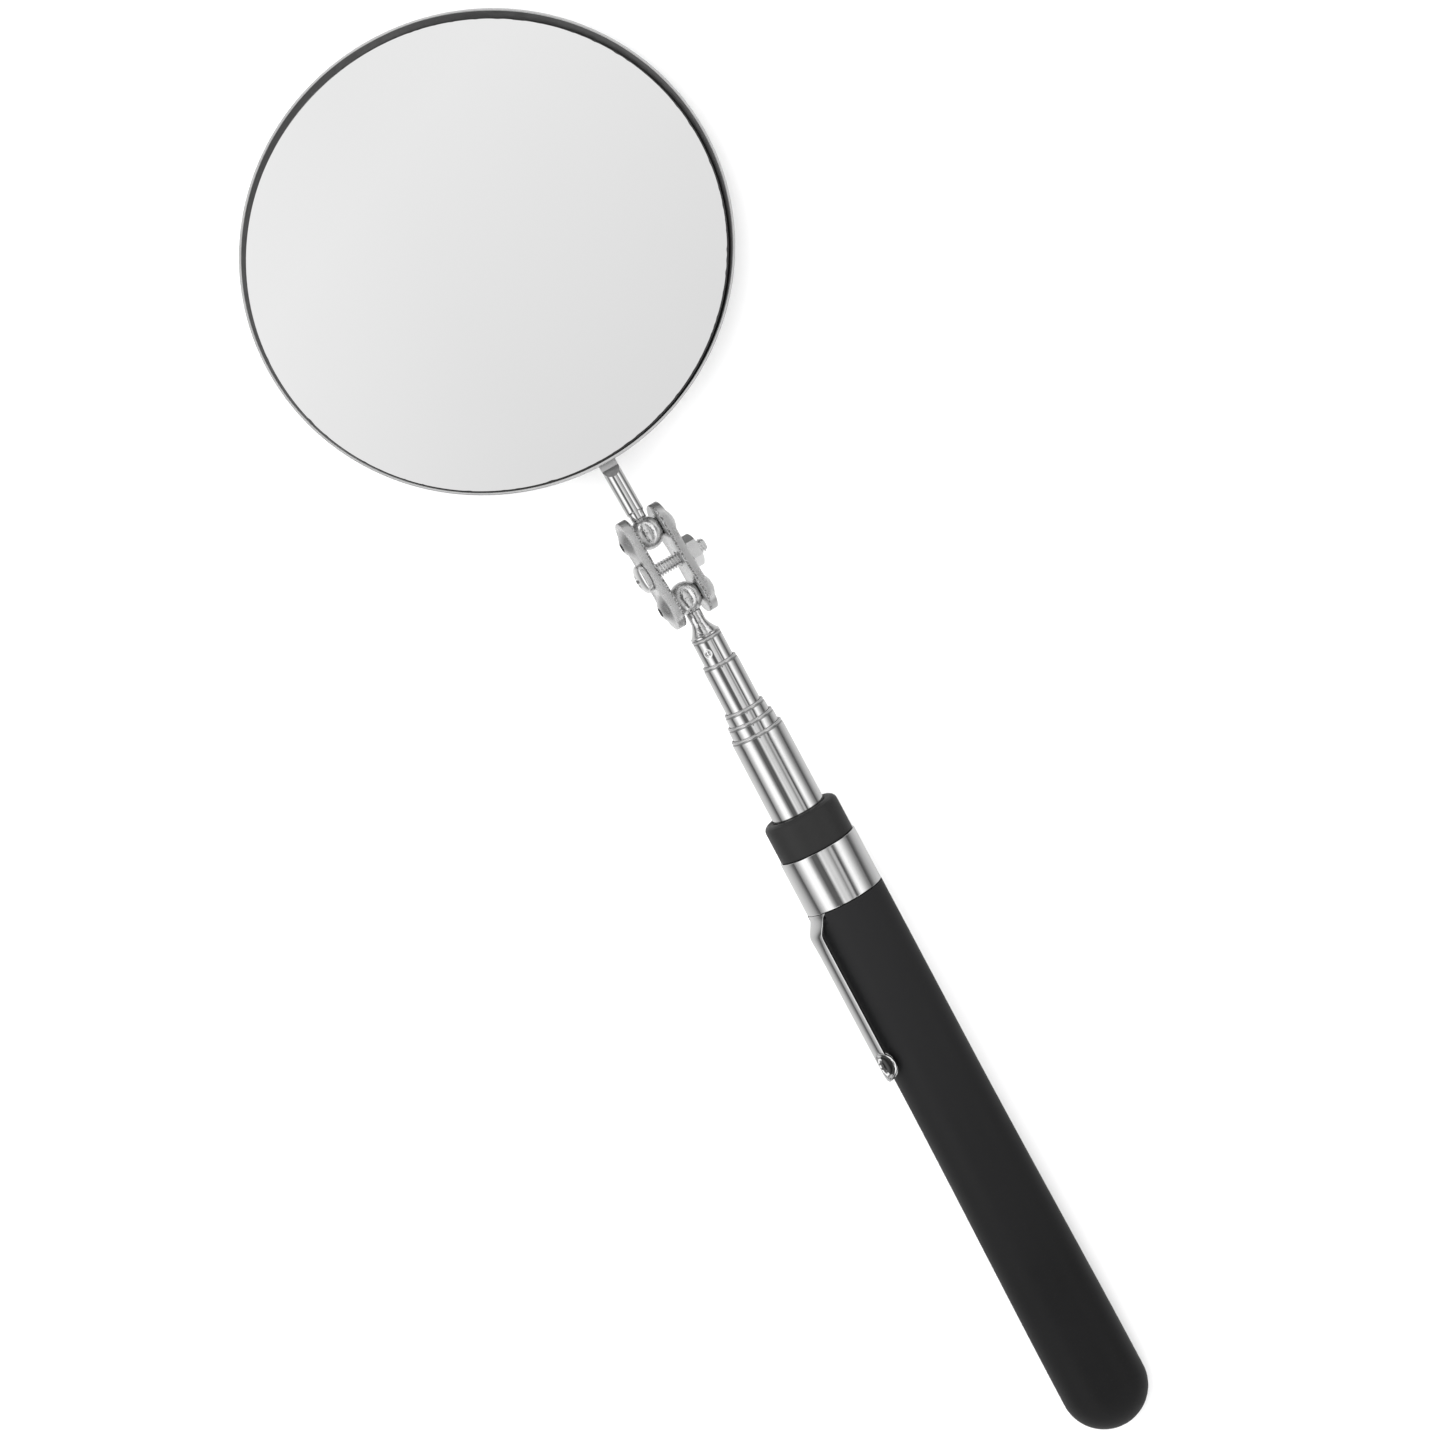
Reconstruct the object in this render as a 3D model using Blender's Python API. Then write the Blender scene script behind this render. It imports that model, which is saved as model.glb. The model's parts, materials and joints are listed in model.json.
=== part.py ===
"""Telescoping mirror with a double ball joint, a pocket clip and a soft grip.

The handle's own frame has its origin at the centre of the grip's round end and runs
along +Y towards the mirror. The link and the mirror have frames of their own, at the
centres of the two balls. The whole object leans on the grip's round end and on the
mirror's far rim, with the joint raised between them.
"""

import math

import bmesh
import bpy
from mathutils import Matrix, Vector

MM = 0.001

# How it lies: the handle rises to the joint, and the mirror falls away from it.
HANDLE_PITCH = math.radians(6.2)
LINK_PITCH = math.radians(-3.9)
LINK_YAW = math.radians(2.6)
LINK_ROLL = math.radians(12.0)
MIRROR_YAW = math.radians(1.4)

# Grip sleeve and what is inside it
GRIP_LENGTH = 93.9 * MM
GRIP_SWELL_END = 62.0 * MM
GRIP_SWELL = 0.5 * MM
GRIP_PROUD = 0.05 * MM
BARREL_WALL = 0.5 * MM
BARREL_REAR = 2.0 * MM
PLUG_LENGTH = 5.0 * MM

# Ferrule with its pocket clip, and the collar above it
FERRULE_WALL = 0.5 * MM
FERRULE_LENGTH = 10.0 * MM
SPIGOT_WALL = 0.85 * MM
COLLAR_STEP = 0.25 * MM
COLLAR_LENGTH = 6.6 * MM
COLLAR_EDGE = 1.1 * MM
COLLAR_LIP = 1.8 * MM
CLIP_AZIMUTH = math.radians(28.0)
CLIP_LENGTH = 30.5 * MM
CLIP_WIDTH = 4.0 * MM
CLIP_SHEET = 0.55 * MM
CLIP_RISE = 2.0 * MM
CLIP_RISE_RUN = 6.5 * MM
CLIP_SCOOP_LENGTH = 5.6 * MM
CLIP_SCOOP_RISE = 1.25 * MM
CLIP_RELIEF_LENGTH = 3.6 * MM
CLIP_RELIEF_GAP = 0.2 * MM

# Telescopic tubes, the innermost first
TIP_TUBE_RADIUS = 2.6 * MM
TUBE_WALL = 0.35 * MM
TUBE_STEP = 0.52 * MM
TUBE_NAMES = ("tip_tube", "tube_2", "tube_3", "tube_4", "tube_5")
TUBE_SHOWS = (4.7 * MM, 8.7 * MM, 2.2 * MM, 2.3 * MM, 15.3 * MM)
TUBE_REAR_GAP = 1.0 * MM
SLEEVE_TO_SLEEVE = 1.2 * MM
MOUTH_LENGTH = 1.0 * MM
MOUTH_WALL = 0.3 * MM
SLEEVE_LENGTH = 5.0 * MM
SLEEVE_WALL = 0.3 * MM
SLEEVE_SPLIT = math.radians(36.0)

# Double ball joint
BALL_RADIUS = 2.8 * MM
SEAT_DEPTH = 0.5 * MM
NECK_STEP = 0.225 * MM
NECK_LENGTH = 3.9 * MM
CONE_LENGTH = 3.2 * MM
CONE_CURVE = 1.6
STUD_SPIGOT = 6.0 * MM
PLATE_SHEET = 1.6 * MM
PLATE_END_RADIUS = 3.9 * MM
PLATE_WAIST = 3.2 * MM
DOME_RISE = 1.3 * MM
DOME_RADIUS = 2.7 * MM
DOME_HOLE_RADIUS = 0.8 * MM
SCREW_RADIUS = 1.22 * MM
SCREW_PAST_NUT = 1.5 * MM
SCREW_CHAMFER = 0.3 * MM
HEAD_RADIUS = 2.55 * MM
HEAD_HEIGHT = 1.8 * MM
HEAD_DOME = 1.0 * MM
RECESS_WIDTH = 0.6 * MM
RECESS_SPAN = 2.8 * MM
RECESS_DEPTH = 0.9 * MM
NUT_ACROSS_FLATS = 5.0 * MM
NUT_HEIGHT = 2.0 * MM
NUT_TO_DOME = 0.66 * MM

# Mirror
CUP_RADIUS = 41.5 * MM
CUP_HEIGHT = 5.4 * MM
CUP_SHEET = 0.4 * MM
CUP_CORNER = 1.0 * MM
PAD_THICKNESS = 0.5 * MM
PAD_EDGE = 1.0 * MM
GLASS_THICKNESS = 1.9 * MM
GLASS_EDGE = 0.25 * MM
GLASS_PLAY = 0.7 * MM
GLASS_OFFSET = (-0.35 * MM, 0.2 * MM)
STEM_RADIUS = 1.525 * MM
STEM_SHOWS = 12.6 * MM
STEM_UNDER_CUP = 14.0 * MM
STEM_FLAT_HEIGHT = 0.15 * MM
STEM_RAMP = 1.4 * MM

# Clearances
FACE_GAP = 0.1 * MM
SLIDE_GAP = 0.06 * MM
BALL_GAP = 0.07 * MM
NECK_GAP = 0.06 * MM
HOLE_GAP = 0.12 * MM

# How finely round shapes are divided
TUBE_SIDES = 28
GRIP_SIDES = 32
CUP_SIDES = 72
BALL_SIDES = 24
SCREW_SIDES = 20
HOLE_SIDES = 16
GRIP_END_STEPS = 8
GRIP_TAPER_STEPS = 6
PLATE_END_STEPS = 14
BALL_STEPS = 10
BEND_STEPS = 6
SHELF_STEPS = 4
EDGE_STEPS = 4
SMOOTH_BELOW = math.radians(35.0)
MERGE_WITHIN = 1e-7

# Sizes that follow from those above
BARREL_BORE = TIP_TUBE_RADIUS + len(TUBE_NAMES) * TUBE_STEP - TUBE_WALL
BARREL_RADIUS = BARREL_BORE + BARREL_WALL
FERRULE_BORE = BARREL_RADIUS + FACE_GAP + SPIGOT_WALL + FACE_GAP
FERRULE_RADIUS = FERRULE_BORE + FERRULE_WALL
COLLAR_RADIUS = FERRULE_RADIUS - COLLAR_STEP
GRIP_TOP_RADIUS = FERRULE_RADIUS + GRIP_PROUD
GRIP_END_RADIUS = GRIP_TOP_RADIUS + GRIP_SWELL
STEM_TO_CENTRE = STEM_SHOWS + CUP_RADIUS
NECK_RADIUS = STEM_RADIUS - NECK_STEP
PLATE_GAP = 2 * (BALL_RADIUS - SEAT_DEPTH)
NUT_CORNER = NUT_ACROSS_FLATS / 2 / math.cos(math.pi / 6)
BALL_SPACING = 2 * (DOME_RADIUS + NUT_TO_DOME + NUT_CORNER)
BALL_Y = GRIP_LENGTH + FERRULE_LENGTH + COLLAR_LENGTH + sum(TUBE_SHOWS) + CONE_LENGTH + NECK_LENGTH


def make_material(name, colour, roughness, metallic):
    """A plain finish: base colour, roughness and metallic value."""
    material = bpy.data.materials.new(name)
    material.use_nodes = True
    shader = material.node_tree.nodes["Principled BSDF"]
    shader.inputs["Base Color"].default_value = (*colour, 1.0)
    shader.inputs["Roughness"].default_value = roughness
    shader.inputs["Metallic"].default_value = metallic
    return material


def make_empty(name, parent, location, rotation=(0.0, 0.0, 0.0)):
    """A frame that pieces are placed in. It rolls about Y, then pitches about X, then yaws."""
    empty = bpy.data.objects.new(name, None)
    empty.rotation_mode = "YXZ"
    empty.rotation_euler = rotation
    empty.location = location
    empty.parent = parent
    bpy.context.scene.collection.objects.link(empty)
    return empty


def make_piece(name, bm, parent, material, location=(0.0, 0.0, 0.0)):
    """A named object from a finished bmesh."""
    bmesh.ops.recalc_face_normals(bm, faces=bm.faces)
    mesh = bpy.data.meshes.new(name)
    bm.to_mesh(mesh)
    bm.free()
    mesh.shade_smooth()
    mesh.set_sharp_from_angle(angle=SMOOTH_BELOW)
    mesh.materials.append(material)
    piece = bpy.data.objects.new(name, mesh)
    piece.parent = parent
    piece.location = location
    bpy.context.scene.collection.objects.link(piece)
    return piece


def arc(centre, radius, start, end, steps):
    """Points (across, along) on an arc, with its angles in degrees from the across axis."""
    points = []
    for step in range(steps + 1):
        angle = math.radians(start + (end - start) * step / steps)
        points.append((centre[0] + radius * math.cos(angle), centre[1] + radius * math.sin(angle)))
    return points


def turned(profile, sides, hollow=False, sweep=math.tau):
    """A body turned about +Y from (radius, along) points. A hollow profile is a closed loop."""
    bm = bmesh.new()
    verts = [bm.verts.new((radius, along, 0.0)) for radius, along in profile]
    links = list(zip(verts, verts[1:]))
    if hollow:
        links.append((verts[-1], verts[0]))
    edges = [bm.edges.new(link) for link in links]
    bmesh.ops.spin(
        bm, geom=verts + edges, cent=(0, 0, 0), axis=(0, 1, 0), angle=sweep, steps=sides,
        use_merge=sweep == math.tau,
    )
    bmesh.ops.remove_doubles(bm, verts=bm.verts, dist=MERGE_WITHIN)
    if sweep < math.tau:
        bmesh.ops.holes_fill(bm, edges=bm.edges, sides=0)
    return bm


def turn_axis(bm, degrees, axis):
    """Turns a body made about +Y so that it stands along another axis."""
    matrix = Matrix.Rotation(math.radians(degrees), 3, axis)
    bmesh.ops.rotate(bm, verts=bm.verts, cent=(0, 0, 0), matrix=matrix)
    return bm


def extruded(outline, low, high):
    """A body with an (x, y) outline, extruded along +Z from low to high."""
    bm = bmesh.new()
    face = bm.faces.new([bm.verts.new((x, y, low)) for x, y in outline])
    made = bmesh.ops.extrude_face_region(bm, geom=[face])["geom"]
    lifted = [item for item in made if isinstance(item, bmesh.types.BMVert)]
    bmesh.ops.translate(bm, verts=lifted, vec=(0.0, 0.0, high - low))
    return bm


def combine(piece, operation, other):
    """Leaves a Boolean on a piece, and hides the shape that it takes."""
    boolean = piece.modifiers.new(other.name, "BOOLEAN")
    boolean.operation = operation
    boolean.solver = "EXACT"
    boolean.object = other
    other.hide_render = True
    other.display_type = "WIRE"


def tube_radius(index):
    """Outer radius of a telescopic tube, counted from the innermost."""
    return TIP_TUBE_RADIUS + index * TUBE_STEP


def tube_front(index):
    """Where a telescopic tube's front end is, along the handle."""
    return GRIP_LENGTH + FERRULE_LENGTH + COLLAR_LENGTH + sum(TUBE_SHOWS[index:])


def tube_rear(index):
    """Where a telescopic tube's rear end is: each sleeve rests just ahead of the next tube's."""
    deeper = len(TUBE_NAMES) - 1 - index
    first = BARREL_REAR + PLUG_LENGTH + TUBE_REAR_GAP
    return first + deeper * (SLEEVE_LENGTH + SLEEVE_WALL + SLEEVE_TO_SLEEVE)


def grip_radius(along):
    """Outer radius of the grip: it swells gently towards its round end."""
    share = min(max(along / GRIP_SWELL_END, 0.0), 1.0)
    return GRIP_END_RADIUS + (GRIP_TOP_RADIUS - GRIP_END_RADIUS) * share * share * (3 - 2 * share)


def make_grip(frame, rubber):
    """The soft sleeve with its closed round end, pushed over the barrel."""
    bore = BARREL_RADIUS + FACE_GAP
    profile = arc((0.0, 0.0), GRIP_END_RADIUS, -90, 0, GRIP_END_STEPS)
    profile[0] = (0.0, -GRIP_END_RADIUS)
    for step in range(1, GRIP_TAPER_STEPS):
        along = GRIP_SWELL_END * step / GRIP_TAPER_STEPS
        profile.append((grip_radius(along), along))
    profile += [(GRIP_TOP_RADIUS, GRIP_SWELL_END), (GRIP_TOP_RADIUS, GRIP_LENGTH), (bore, GRIP_LENGTH)]
    floor = BARREL_REAR - FACE_GAP
    profile += [(bore, floor), (0.0, floor)]
    return make_piece("grip_sleeve", turned(profile, GRIP_SIDES), frame, rubber)


def make_barrel(frame, steel, plastic):
    """The metal tube inside the grip and collar, and the plug that closes its rear end."""
    front = GRIP_LENGTH + FERRULE_LENGTH + COLLAR_LENGTH - COLLAR_LIP - FACE_GAP
    loop = [(BARREL_RADIUS, BARREL_REAR), (BARREL_RADIUS, front), (BARREL_BORE, front)]
    loop += [(BARREL_BORE, BARREL_REAR)]
    make_piece("barrel", turned(loop, TUBE_SIDES, hollow=True), frame, steel)
    radius = BARREL_BORE - SLIDE_GAP
    end = BARREL_REAR + PLUG_LENGTH
    plug = [(0.0, BARREL_REAR), (radius, BARREL_REAR), (radius, end), (0.0, end)]
    make_piece("end_plug", turned(plug, TUBE_SIDES), frame, plastic)


def make_ferrule(frame, chrome):
    """The bright sleeve between grip and collar, which carries the pocket clip."""
    rear = GRIP_LENGTH + FACE_GAP
    front = GRIP_LENGTH + FERRULE_LENGTH - FACE_GAP
    loop = [(FERRULE_RADIUS, rear), (FERRULE_RADIUS, front), (FERRULE_BORE, front), (FERRULE_BORE, rear)]
    make_piece("clip_sleeve", turned(loop, GRIP_SIDES, hollow=True), frame, chrome)


def make_collar(frame, plastic):
    """The black collar: its spigot fills the sleeve, and its lip guides the largest tube."""
    bore = BARREL_RADIUS + FACE_GAP
    spigot = bore + SPIGOT_WALL
    lip = tube_radius(len(TUBE_NAMES) - 1) + SLIDE_GAP
    rear = GRIP_LENGTH + FACE_GAP
    shoulder = GRIP_LENGTH + FERRULE_LENGTH
    top = shoulder + COLLAR_LENGTH
    inside = top - COLLAR_LIP
    loop = [(bore, inside), (bore, rear), (spigot, rear), (spigot, shoulder), (COLLAR_RADIUS, shoulder)]
    loop += arc((COLLAR_RADIUS - COLLAR_EDGE, top - COLLAR_EDGE), COLLAR_EDGE, 0, 90, EDGE_STEPS)
    loop += [(lip, top), (lip, inside)]
    make_piece("collar", turned(loop, TUBE_SIDES, hollow=True), frame, plastic)


def clip_path():
    """The clip's side view as (out from the grip's axis, along from the clip's root) points."""
    base = FERRULE_RADIUS - CLIP_SHEET / 2
    crest = base + CLIP_RISE
    rest = grip_radius(GRIP_LENGTH - CLIP_LENGTH) + CLIP_SHEET / 2 + FACE_GAP
    scoop_start = -(CLIP_LENGTH - CLIP_SCOOP_LENGTH)
    points = []
    for step in range(BEND_STEPS + 1):
        share = step / BEND_STEPS
        rise = (1 - math.cos(math.pi * share)) / 2
        points.append((base + CLIP_RISE * rise, -FACE_GAP - CLIP_RISE_RUN * share))
    shelf = rest + CLIP_SCOOP_RISE
    shelf_start = points[-1][1]
    for step in range(1, SHELF_STEPS):
        share = step / SHELF_STEPS
        points.append((crest + (shelf - crest) * share, shelf_start + (scoop_start - shelf_start) * share))
    for step in range(BEND_STEPS + 1):
        share = step / BEND_STEPS
        dip = math.sin(math.pi * share)
        points.append((shelf - CLIP_SCOOP_RISE * dip, scoop_start - CLIP_SCOOP_LENGTH * share))
    return points


def make_clip(frame, chrome, grip):
    """The sprung arm of the pocket clip, bent from the sleeve's sheet, and its relief in the grip."""
    root = make_empty("clip_root", frame, (0.0, GRIP_LENGTH + FACE_GAP, 0.0), (0.0, CLIP_AZIMUTH, 0.0))
    path = [Vector(point) for point in clip_path()]
    outer = []
    inner = []
    for index, point in enumerate(path):
        ahead = path[min(index + 1, len(path) - 1)] - path[max(index - 1, 0)]
        normal = Vector((-ahead.y, ahead.x)).normalized() * CLIP_SHEET / 2
        outer.append(point - normal)
        inner.append(point + normal)
    outline = [(-point.x, point.y) for point in outer + inner[::-1]]
    arm = extruded(outline, -CLIP_WIDTH / 2, CLIP_WIDTH / 2)
    hinge = Vector((-(FERRULE_RADIUS - CLIP_SHEET / 2), 0.0, 0.0))
    bmesh.ops.translate(arm, verts=arm.verts, vec=-hinge)
    make_piece("pocket_clip", arm, root, chrome, hinge)
    floor = FERRULE_RADIUS - CLIP_SHEET - CLIP_RELIEF_GAP
    reach = CLIP_WIDTH / 2 + CLIP_RELIEF_GAP
    low = (-FERRULE_RADIUS - CLIP_RISE, -CLIP_RELIEF_LENGTH)
    high = (-floor, CLIP_RELIEF_LENGTH)
    outline = [low, (high[0], low[1]), high, (low[0], high[1])]
    relief = make_piece("clip_relief", extruded(outline, -reach, reach), root, chrome)
    combine(grip, "DIFFERENCE", relief)


def make_tubes(frame, chrome, brass):
    """The five sliding tubes, each with a swaged mouth and a split friction sleeve at its rear."""
    for index, name in enumerate(TUBE_NAMES):
        radius = tube_radius(index)
        inner = radius - TUBE_WALL
        neck = radius - SLEEVE_WALL
        rear = tube_rear(index)
        shoulder = rear + SLEEVE_LENGTH
        front = tube_front(index)
        lead = front - MOUTH_LENGTH
        loop = [(neck - TUBE_WALL, rear), (neck, rear), (neck, shoulder), (radius, shoulder + SLEEVE_WALL)]
        if index == 0:
            loop += [(radius, front), (inner, front)]
        else:
            mouth = tube_radius(index - 1) + SLIDE_GAP
            loop += [(radius, lead), (mouth + MOUTH_WALL, front), (mouth, front), (inner, lead)]
        loop += [(inner, shoulder + SLEEVE_WALL), (neck - TUBE_WALL, shoulder)]
        make_piece(name, turned(loop, TUBE_SIDES, hollow=True), frame, chrome)
        low = neck + SLIDE_GAP
        high = radius + (TUBE_STEP - TUBE_WALL) / 2
        start = rear + FACE_GAP
        end = shoulder - FACE_GAP
        ring = [(low, start), (high, start), (high, end), (low, end)]
        sleeve = turned(ring, TUBE_SIDES, hollow=True, sweep=math.tau - SLEEVE_SPLIT)
        make_piece("friction_sleeve_" + str(index + 1), sleeve, frame, brass)


def make_stud(frame, chrome):
    """The neck and cone that carry the lower ball, with a spigot pressed into the tip tube."""
    base = BALL_Y - NECK_LENGTH - CONE_LENGTH
    spigot = tube_radius(0) - TUBE_WALL - SLIDE_GAP
    end = BALL_Y - neck_flat() - NECK_GAP
    profile = [(0.0, base - STUD_SPIGOT), (spigot, base - STUD_SPIGOT), (spigot, base + SLIDE_GAP)]
    profile += [(TIP_TUBE_RADIUS, base + SLIDE_GAP)]
    for step in range(1, BEND_STEPS + 1):
        share = step / BEND_STEPS
        flare = NECK_RADIUS + (TIP_TUBE_RADIUS - NECK_RADIUS) * (1 - share) ** CONE_CURVE
        profile.append((flare, base + SLIDE_GAP + (CONE_LENGTH - SLIDE_GAP) * share))
    profile += [(NECK_RADIUS, end), (0.0, end)]
    make_piece("ball_stud", turned(profile, BALL_SIDES), frame, chrome)


def neck_flat():
    """How far from a ball's centre its neck meets it."""
    return math.sqrt(BALL_RADIUS**2 - NECK_RADIUS**2)


def ball_body(toward):
    """A ball with a small flat for its neck, facing -Y or +Y."""
    foot = math.degrees(math.asin(neck_flat() / BALL_RADIUS))
    profile = arc((0.0, 0.0), BALL_RADIUS, -foot, 90, BALL_STEPS)
    profile[-1] = (0.0, BALL_RADIUS)
    bm = turned([(0.0, -neck_flat())] + profile, BALL_SIDES)
    if toward > 0:
        turn_axis(bm, 180, "Z")
    return bm


def plate_outline():
    """A plate's (along, across) outline: two round ends and a narrower waist."""
    spread = math.degrees(math.acos((PLATE_END_RADIUS - PLATE_WAIST) / BALL_SPACING * 2))
    upper = arc((BALL_SPACING, 0.0), PLATE_END_RADIUS, -spread, spread, PLATE_END_STEPS)
    lower = arc((0.0, 0.0), PLATE_END_RADIUS, 180 - spread, 180 + spread, PLATE_END_STEPS)
    waist = BALL_SPACING / 2
    return upper + [(waist, PLATE_WAIST)] + lower + [(waist, -PLATE_WAIST)]


def dome_body(side):
    """A round dome with its hole's place in its middle, standing out from a plate."""
    face = PLATE_GAP / 2 + PLATE_SHEET
    sink = PLATE_SHEET / 2
    bulge = (DOME_RADIUS**2 + DOME_RISE**2) / (2 * DOME_RISE)
    spread = math.degrees(math.asin(DOME_RADIUS / bulge))
    profile = [(0.0, face - sink), (DOME_RADIUS, face - sink)]
    profile += arc((0.0, face + DOME_RISE - bulge), bulge, 90 - spread, 90, EDGE_STEPS)
    profile[-1] = (0.0, face + DOME_RISE)
    return turn_axis(turned(profile, BALL_SIDES), -90 * side, "Z")


def rod_along_x(radius, low, high, sides):
    """A plain round rod along X from low to high."""
    bm = turned([(0.0, low), (radius, low), (radius, high), (0.0, high)], sides)
    return turn_axis(bm, -90, "Z")


def make_plate(name, side, frame, nickel):
    """One stamped plate of the link: ball seats pressed out as domes, and a hole for the screw."""
    inner = PLATE_GAP / 2
    blank = extruded(plate_outline(), inner, inner + PLATE_SHEET)
    for vert in blank.verts:
        vert.co = Vector((side * vert.co.z, vert.co.x, vert.co.y))
    plate = make_piece(name, blank, frame, nickel)
    low, high = sorted((side * inner / 2, side * (inner + PLATE_SHEET + DOME_RISE + FACE_GAP)))
    for number, along in enumerate((0.0, BALL_SPACING)):
        centre = (0.0, along, 0.0)
        dome = make_piece(f"{name}_dome_{number}", dome_body(side), frame, nickel, centre)
        combine(plate, "UNION", dome)
        seat = bmesh.new()
        reach = BALL_RADIUS + BALL_GAP
        bmesh.ops.create_uvsphere(seat, u_segments=BALL_SIDES, v_segments=BALL_SIDES // 2, radius=reach)
        combine(plate, "DIFFERENCE", make_piece(f"{name}_seat_{number}", seat, frame, nickel, centre))
        hole = rod_along_x(DOME_HOLE_RADIUS, low, high, HOLE_SIDES)
        combine(plate, "DIFFERENCE", make_piece(f"{name}_hole_{number}", hole, frame, nickel, centre))
    hole = rod_along_x(SCREW_RADIUS + HOLE_GAP, low, high, SCREW_SIDES)
    middle = (0.0, BALL_SPACING / 2, 0.0)
    combine(plate, "DIFFERENCE", make_piece(f"{name}_screw_hole", hole, frame, nickel, middle))


def make_screw(frame, steel):
    """The clamping screw, its domed head with a cross recess on the clip's side of the link."""
    face = PLATE_GAP / 2 + PLATE_SHEET + FACE_GAP / 2
    end = face + NUT_HEIGHT + SCREW_PAST_NUT
    top = -face - HEAD_HEIGHT
    profile = [(0.0, top)]
    for step in range(1, EDGE_STEPS + 1):
        turn = math.pi / 2 * step / EDGE_STEPS
        profile.append((HEAD_RADIUS * math.sin(turn), top + HEAD_DOME * (1 - math.cos(turn))))
    profile += [(HEAD_RADIUS, -face), (SCREW_RADIUS, -face), (SCREW_RADIUS, end - SCREW_CHAMFER)]
    profile += [(SCREW_RADIUS - SCREW_CHAMFER, end), (0.0, end)]
    body = turn_axis(turned(profile, SCREW_SIDES), -90, "Z")
    middle = (0.0, BALL_SPACING / 2, 0.0)
    screw = make_piece("clamp_screw", body, frame, steel, middle)
    for number, (wide, tall) in enumerate(((RECESS_SPAN, RECESS_WIDTH), (RECESS_WIDTH, RECESS_SPAN))):
        slot = bmesh.new()
        bmesh.ops.create_cube(slot, size=1.0)
        bmesh.ops.scale(slot, verts=slot.verts, vec=(RECESS_DEPTH * 2, wide, tall))
        bmesh.ops.translate(slot, verts=slot.verts, vec=(top, 0.0, 0.0))
        combine(screw, "DIFFERENCE", make_piece(f"recess_{number}", slot, frame, steel, middle))


def make_nut(frame, steel):
    """The hexagon nut on the far side of the link."""
    low = PLATE_GAP / 2 + PLATE_SHEET + FACE_GAP / 2
    profile = [(0.0, low), (NUT_CORNER, low), (NUT_CORNER, low + NUT_HEIGHT), (0.0, low + NUT_HEIGHT)]
    body = turn_axis(turned(profile, 6), -90, "Z")
    middle = (0.0, BALL_SPACING / 2, 0.0)
    nut = make_piece("clamp_nut", body, frame, steel, middle)
    bore = rod_along_x(SCREW_RADIUS + SLIDE_GAP, low - FACE_GAP, low + NUT_HEIGHT + FACE_GAP, SCREW_SIDES)
    combine(nut, "DIFFERENCE", make_piece("nut_bore", bore, frame, steel, middle))


def make_stem(frame, chrome):
    """The mirror's rod, milled flat where it runs under the cup's back."""
    start = neck_flat() + NECK_GAP
    end = STEM_SHOWS + STEM_UNDER_CUP
    profile = [(0.0, start), (NECK_RADIUS, start), (NECK_RADIUS, start + NECK_RADIUS)]
    profile += [(STEM_RADIUS, start + STEM_RADIUS), (STEM_RADIUS, end), (0.0, end)]
    stem = make_piece("mirror_stem", turned(profile, BALL_SIDES), frame, chrome)
    slope = STEM_RADIUS - STEM_FLAT_HEIGHT
    foot = STEM_SHOWS - STEM_RAMP + slope
    outline = [(foot, STEM_FLAT_HEIGHT), (foot - 2 * slope, STEM_FLAT_HEIGHT + 2 * slope)]
    outline += [(end + STEM_RADIUS, STEM_FLAT_HEIGHT + 2 * slope), (end + STEM_RADIUS, STEM_FLAT_HEIGHT)]
    cutter = extruded(outline, -2 * STEM_RADIUS, 2 * STEM_RADIUS)
    for vert in cutter.verts:
        vert.co = Vector((vert.co.z, vert.co.x, vert.co.y))
    combine(stem, "DIFFERENCE", make_piece("stem_mill", cutter, frame, chrome))


def make_mirror(frame, steel, foam, silver):
    """The shallow pressed cup, the adhesive pad in it and the round glass."""
    back = STEM_FLAT_HEIGHT + FACE_GAP
    centre = (0.0, STEM_TO_CENTRE, back)
    inner = CUP_RADIUS - CUP_SHEET
    fillet = CUP_CORNER - CUP_SHEET
    cup = [(0.0, 0.0)] + arc((CUP_RADIUS - CUP_CORNER, CUP_CORNER), CUP_CORNER, -90, 0, EDGE_STEPS)
    cup += [(CUP_RADIUS, CUP_HEIGHT), (inner, CUP_HEIGHT)]
    cup += arc((inner - fillet, CUP_SHEET + fillet), fillet, 0, -90, EDGE_STEPS) + [(0.0, CUP_SHEET)]
    make_piece("mirror_cup", turn_axis(turned(cup, CUP_SIDES), 90, "X"), frame, steel, centre)
    low = CUP_SHEET + FACE_GAP / 2
    high = low + PAD_THICKNESS
    radius = inner - GLASS_PLAY - PAD_EDGE
    pad = [(0.0, low), (radius, low), (radius, high), (0.0, high)]
    make_piece("backing_pad", turn_axis(turned(pad, CUP_SIDES), 90, "X"), frame, foam, centre)
    low = high + FACE_GAP / 2
    high = low + GLASS_THICKNESS
    radius = inner - GLASS_PLAY
    glass = [(0.0, low), (radius, low), (radius, high - GLASS_EDGE), (radius - GLASS_EDGE, high), (0.0, high)]
    seat = (GLASS_OFFSET[0], STEM_TO_CENTRE + GLASS_OFFSET[1], back)
    make_piece("mirror_glass", turn_axis(turned(glass, CUP_SIDES), 90, "X"), frame, silver, seat)


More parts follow.
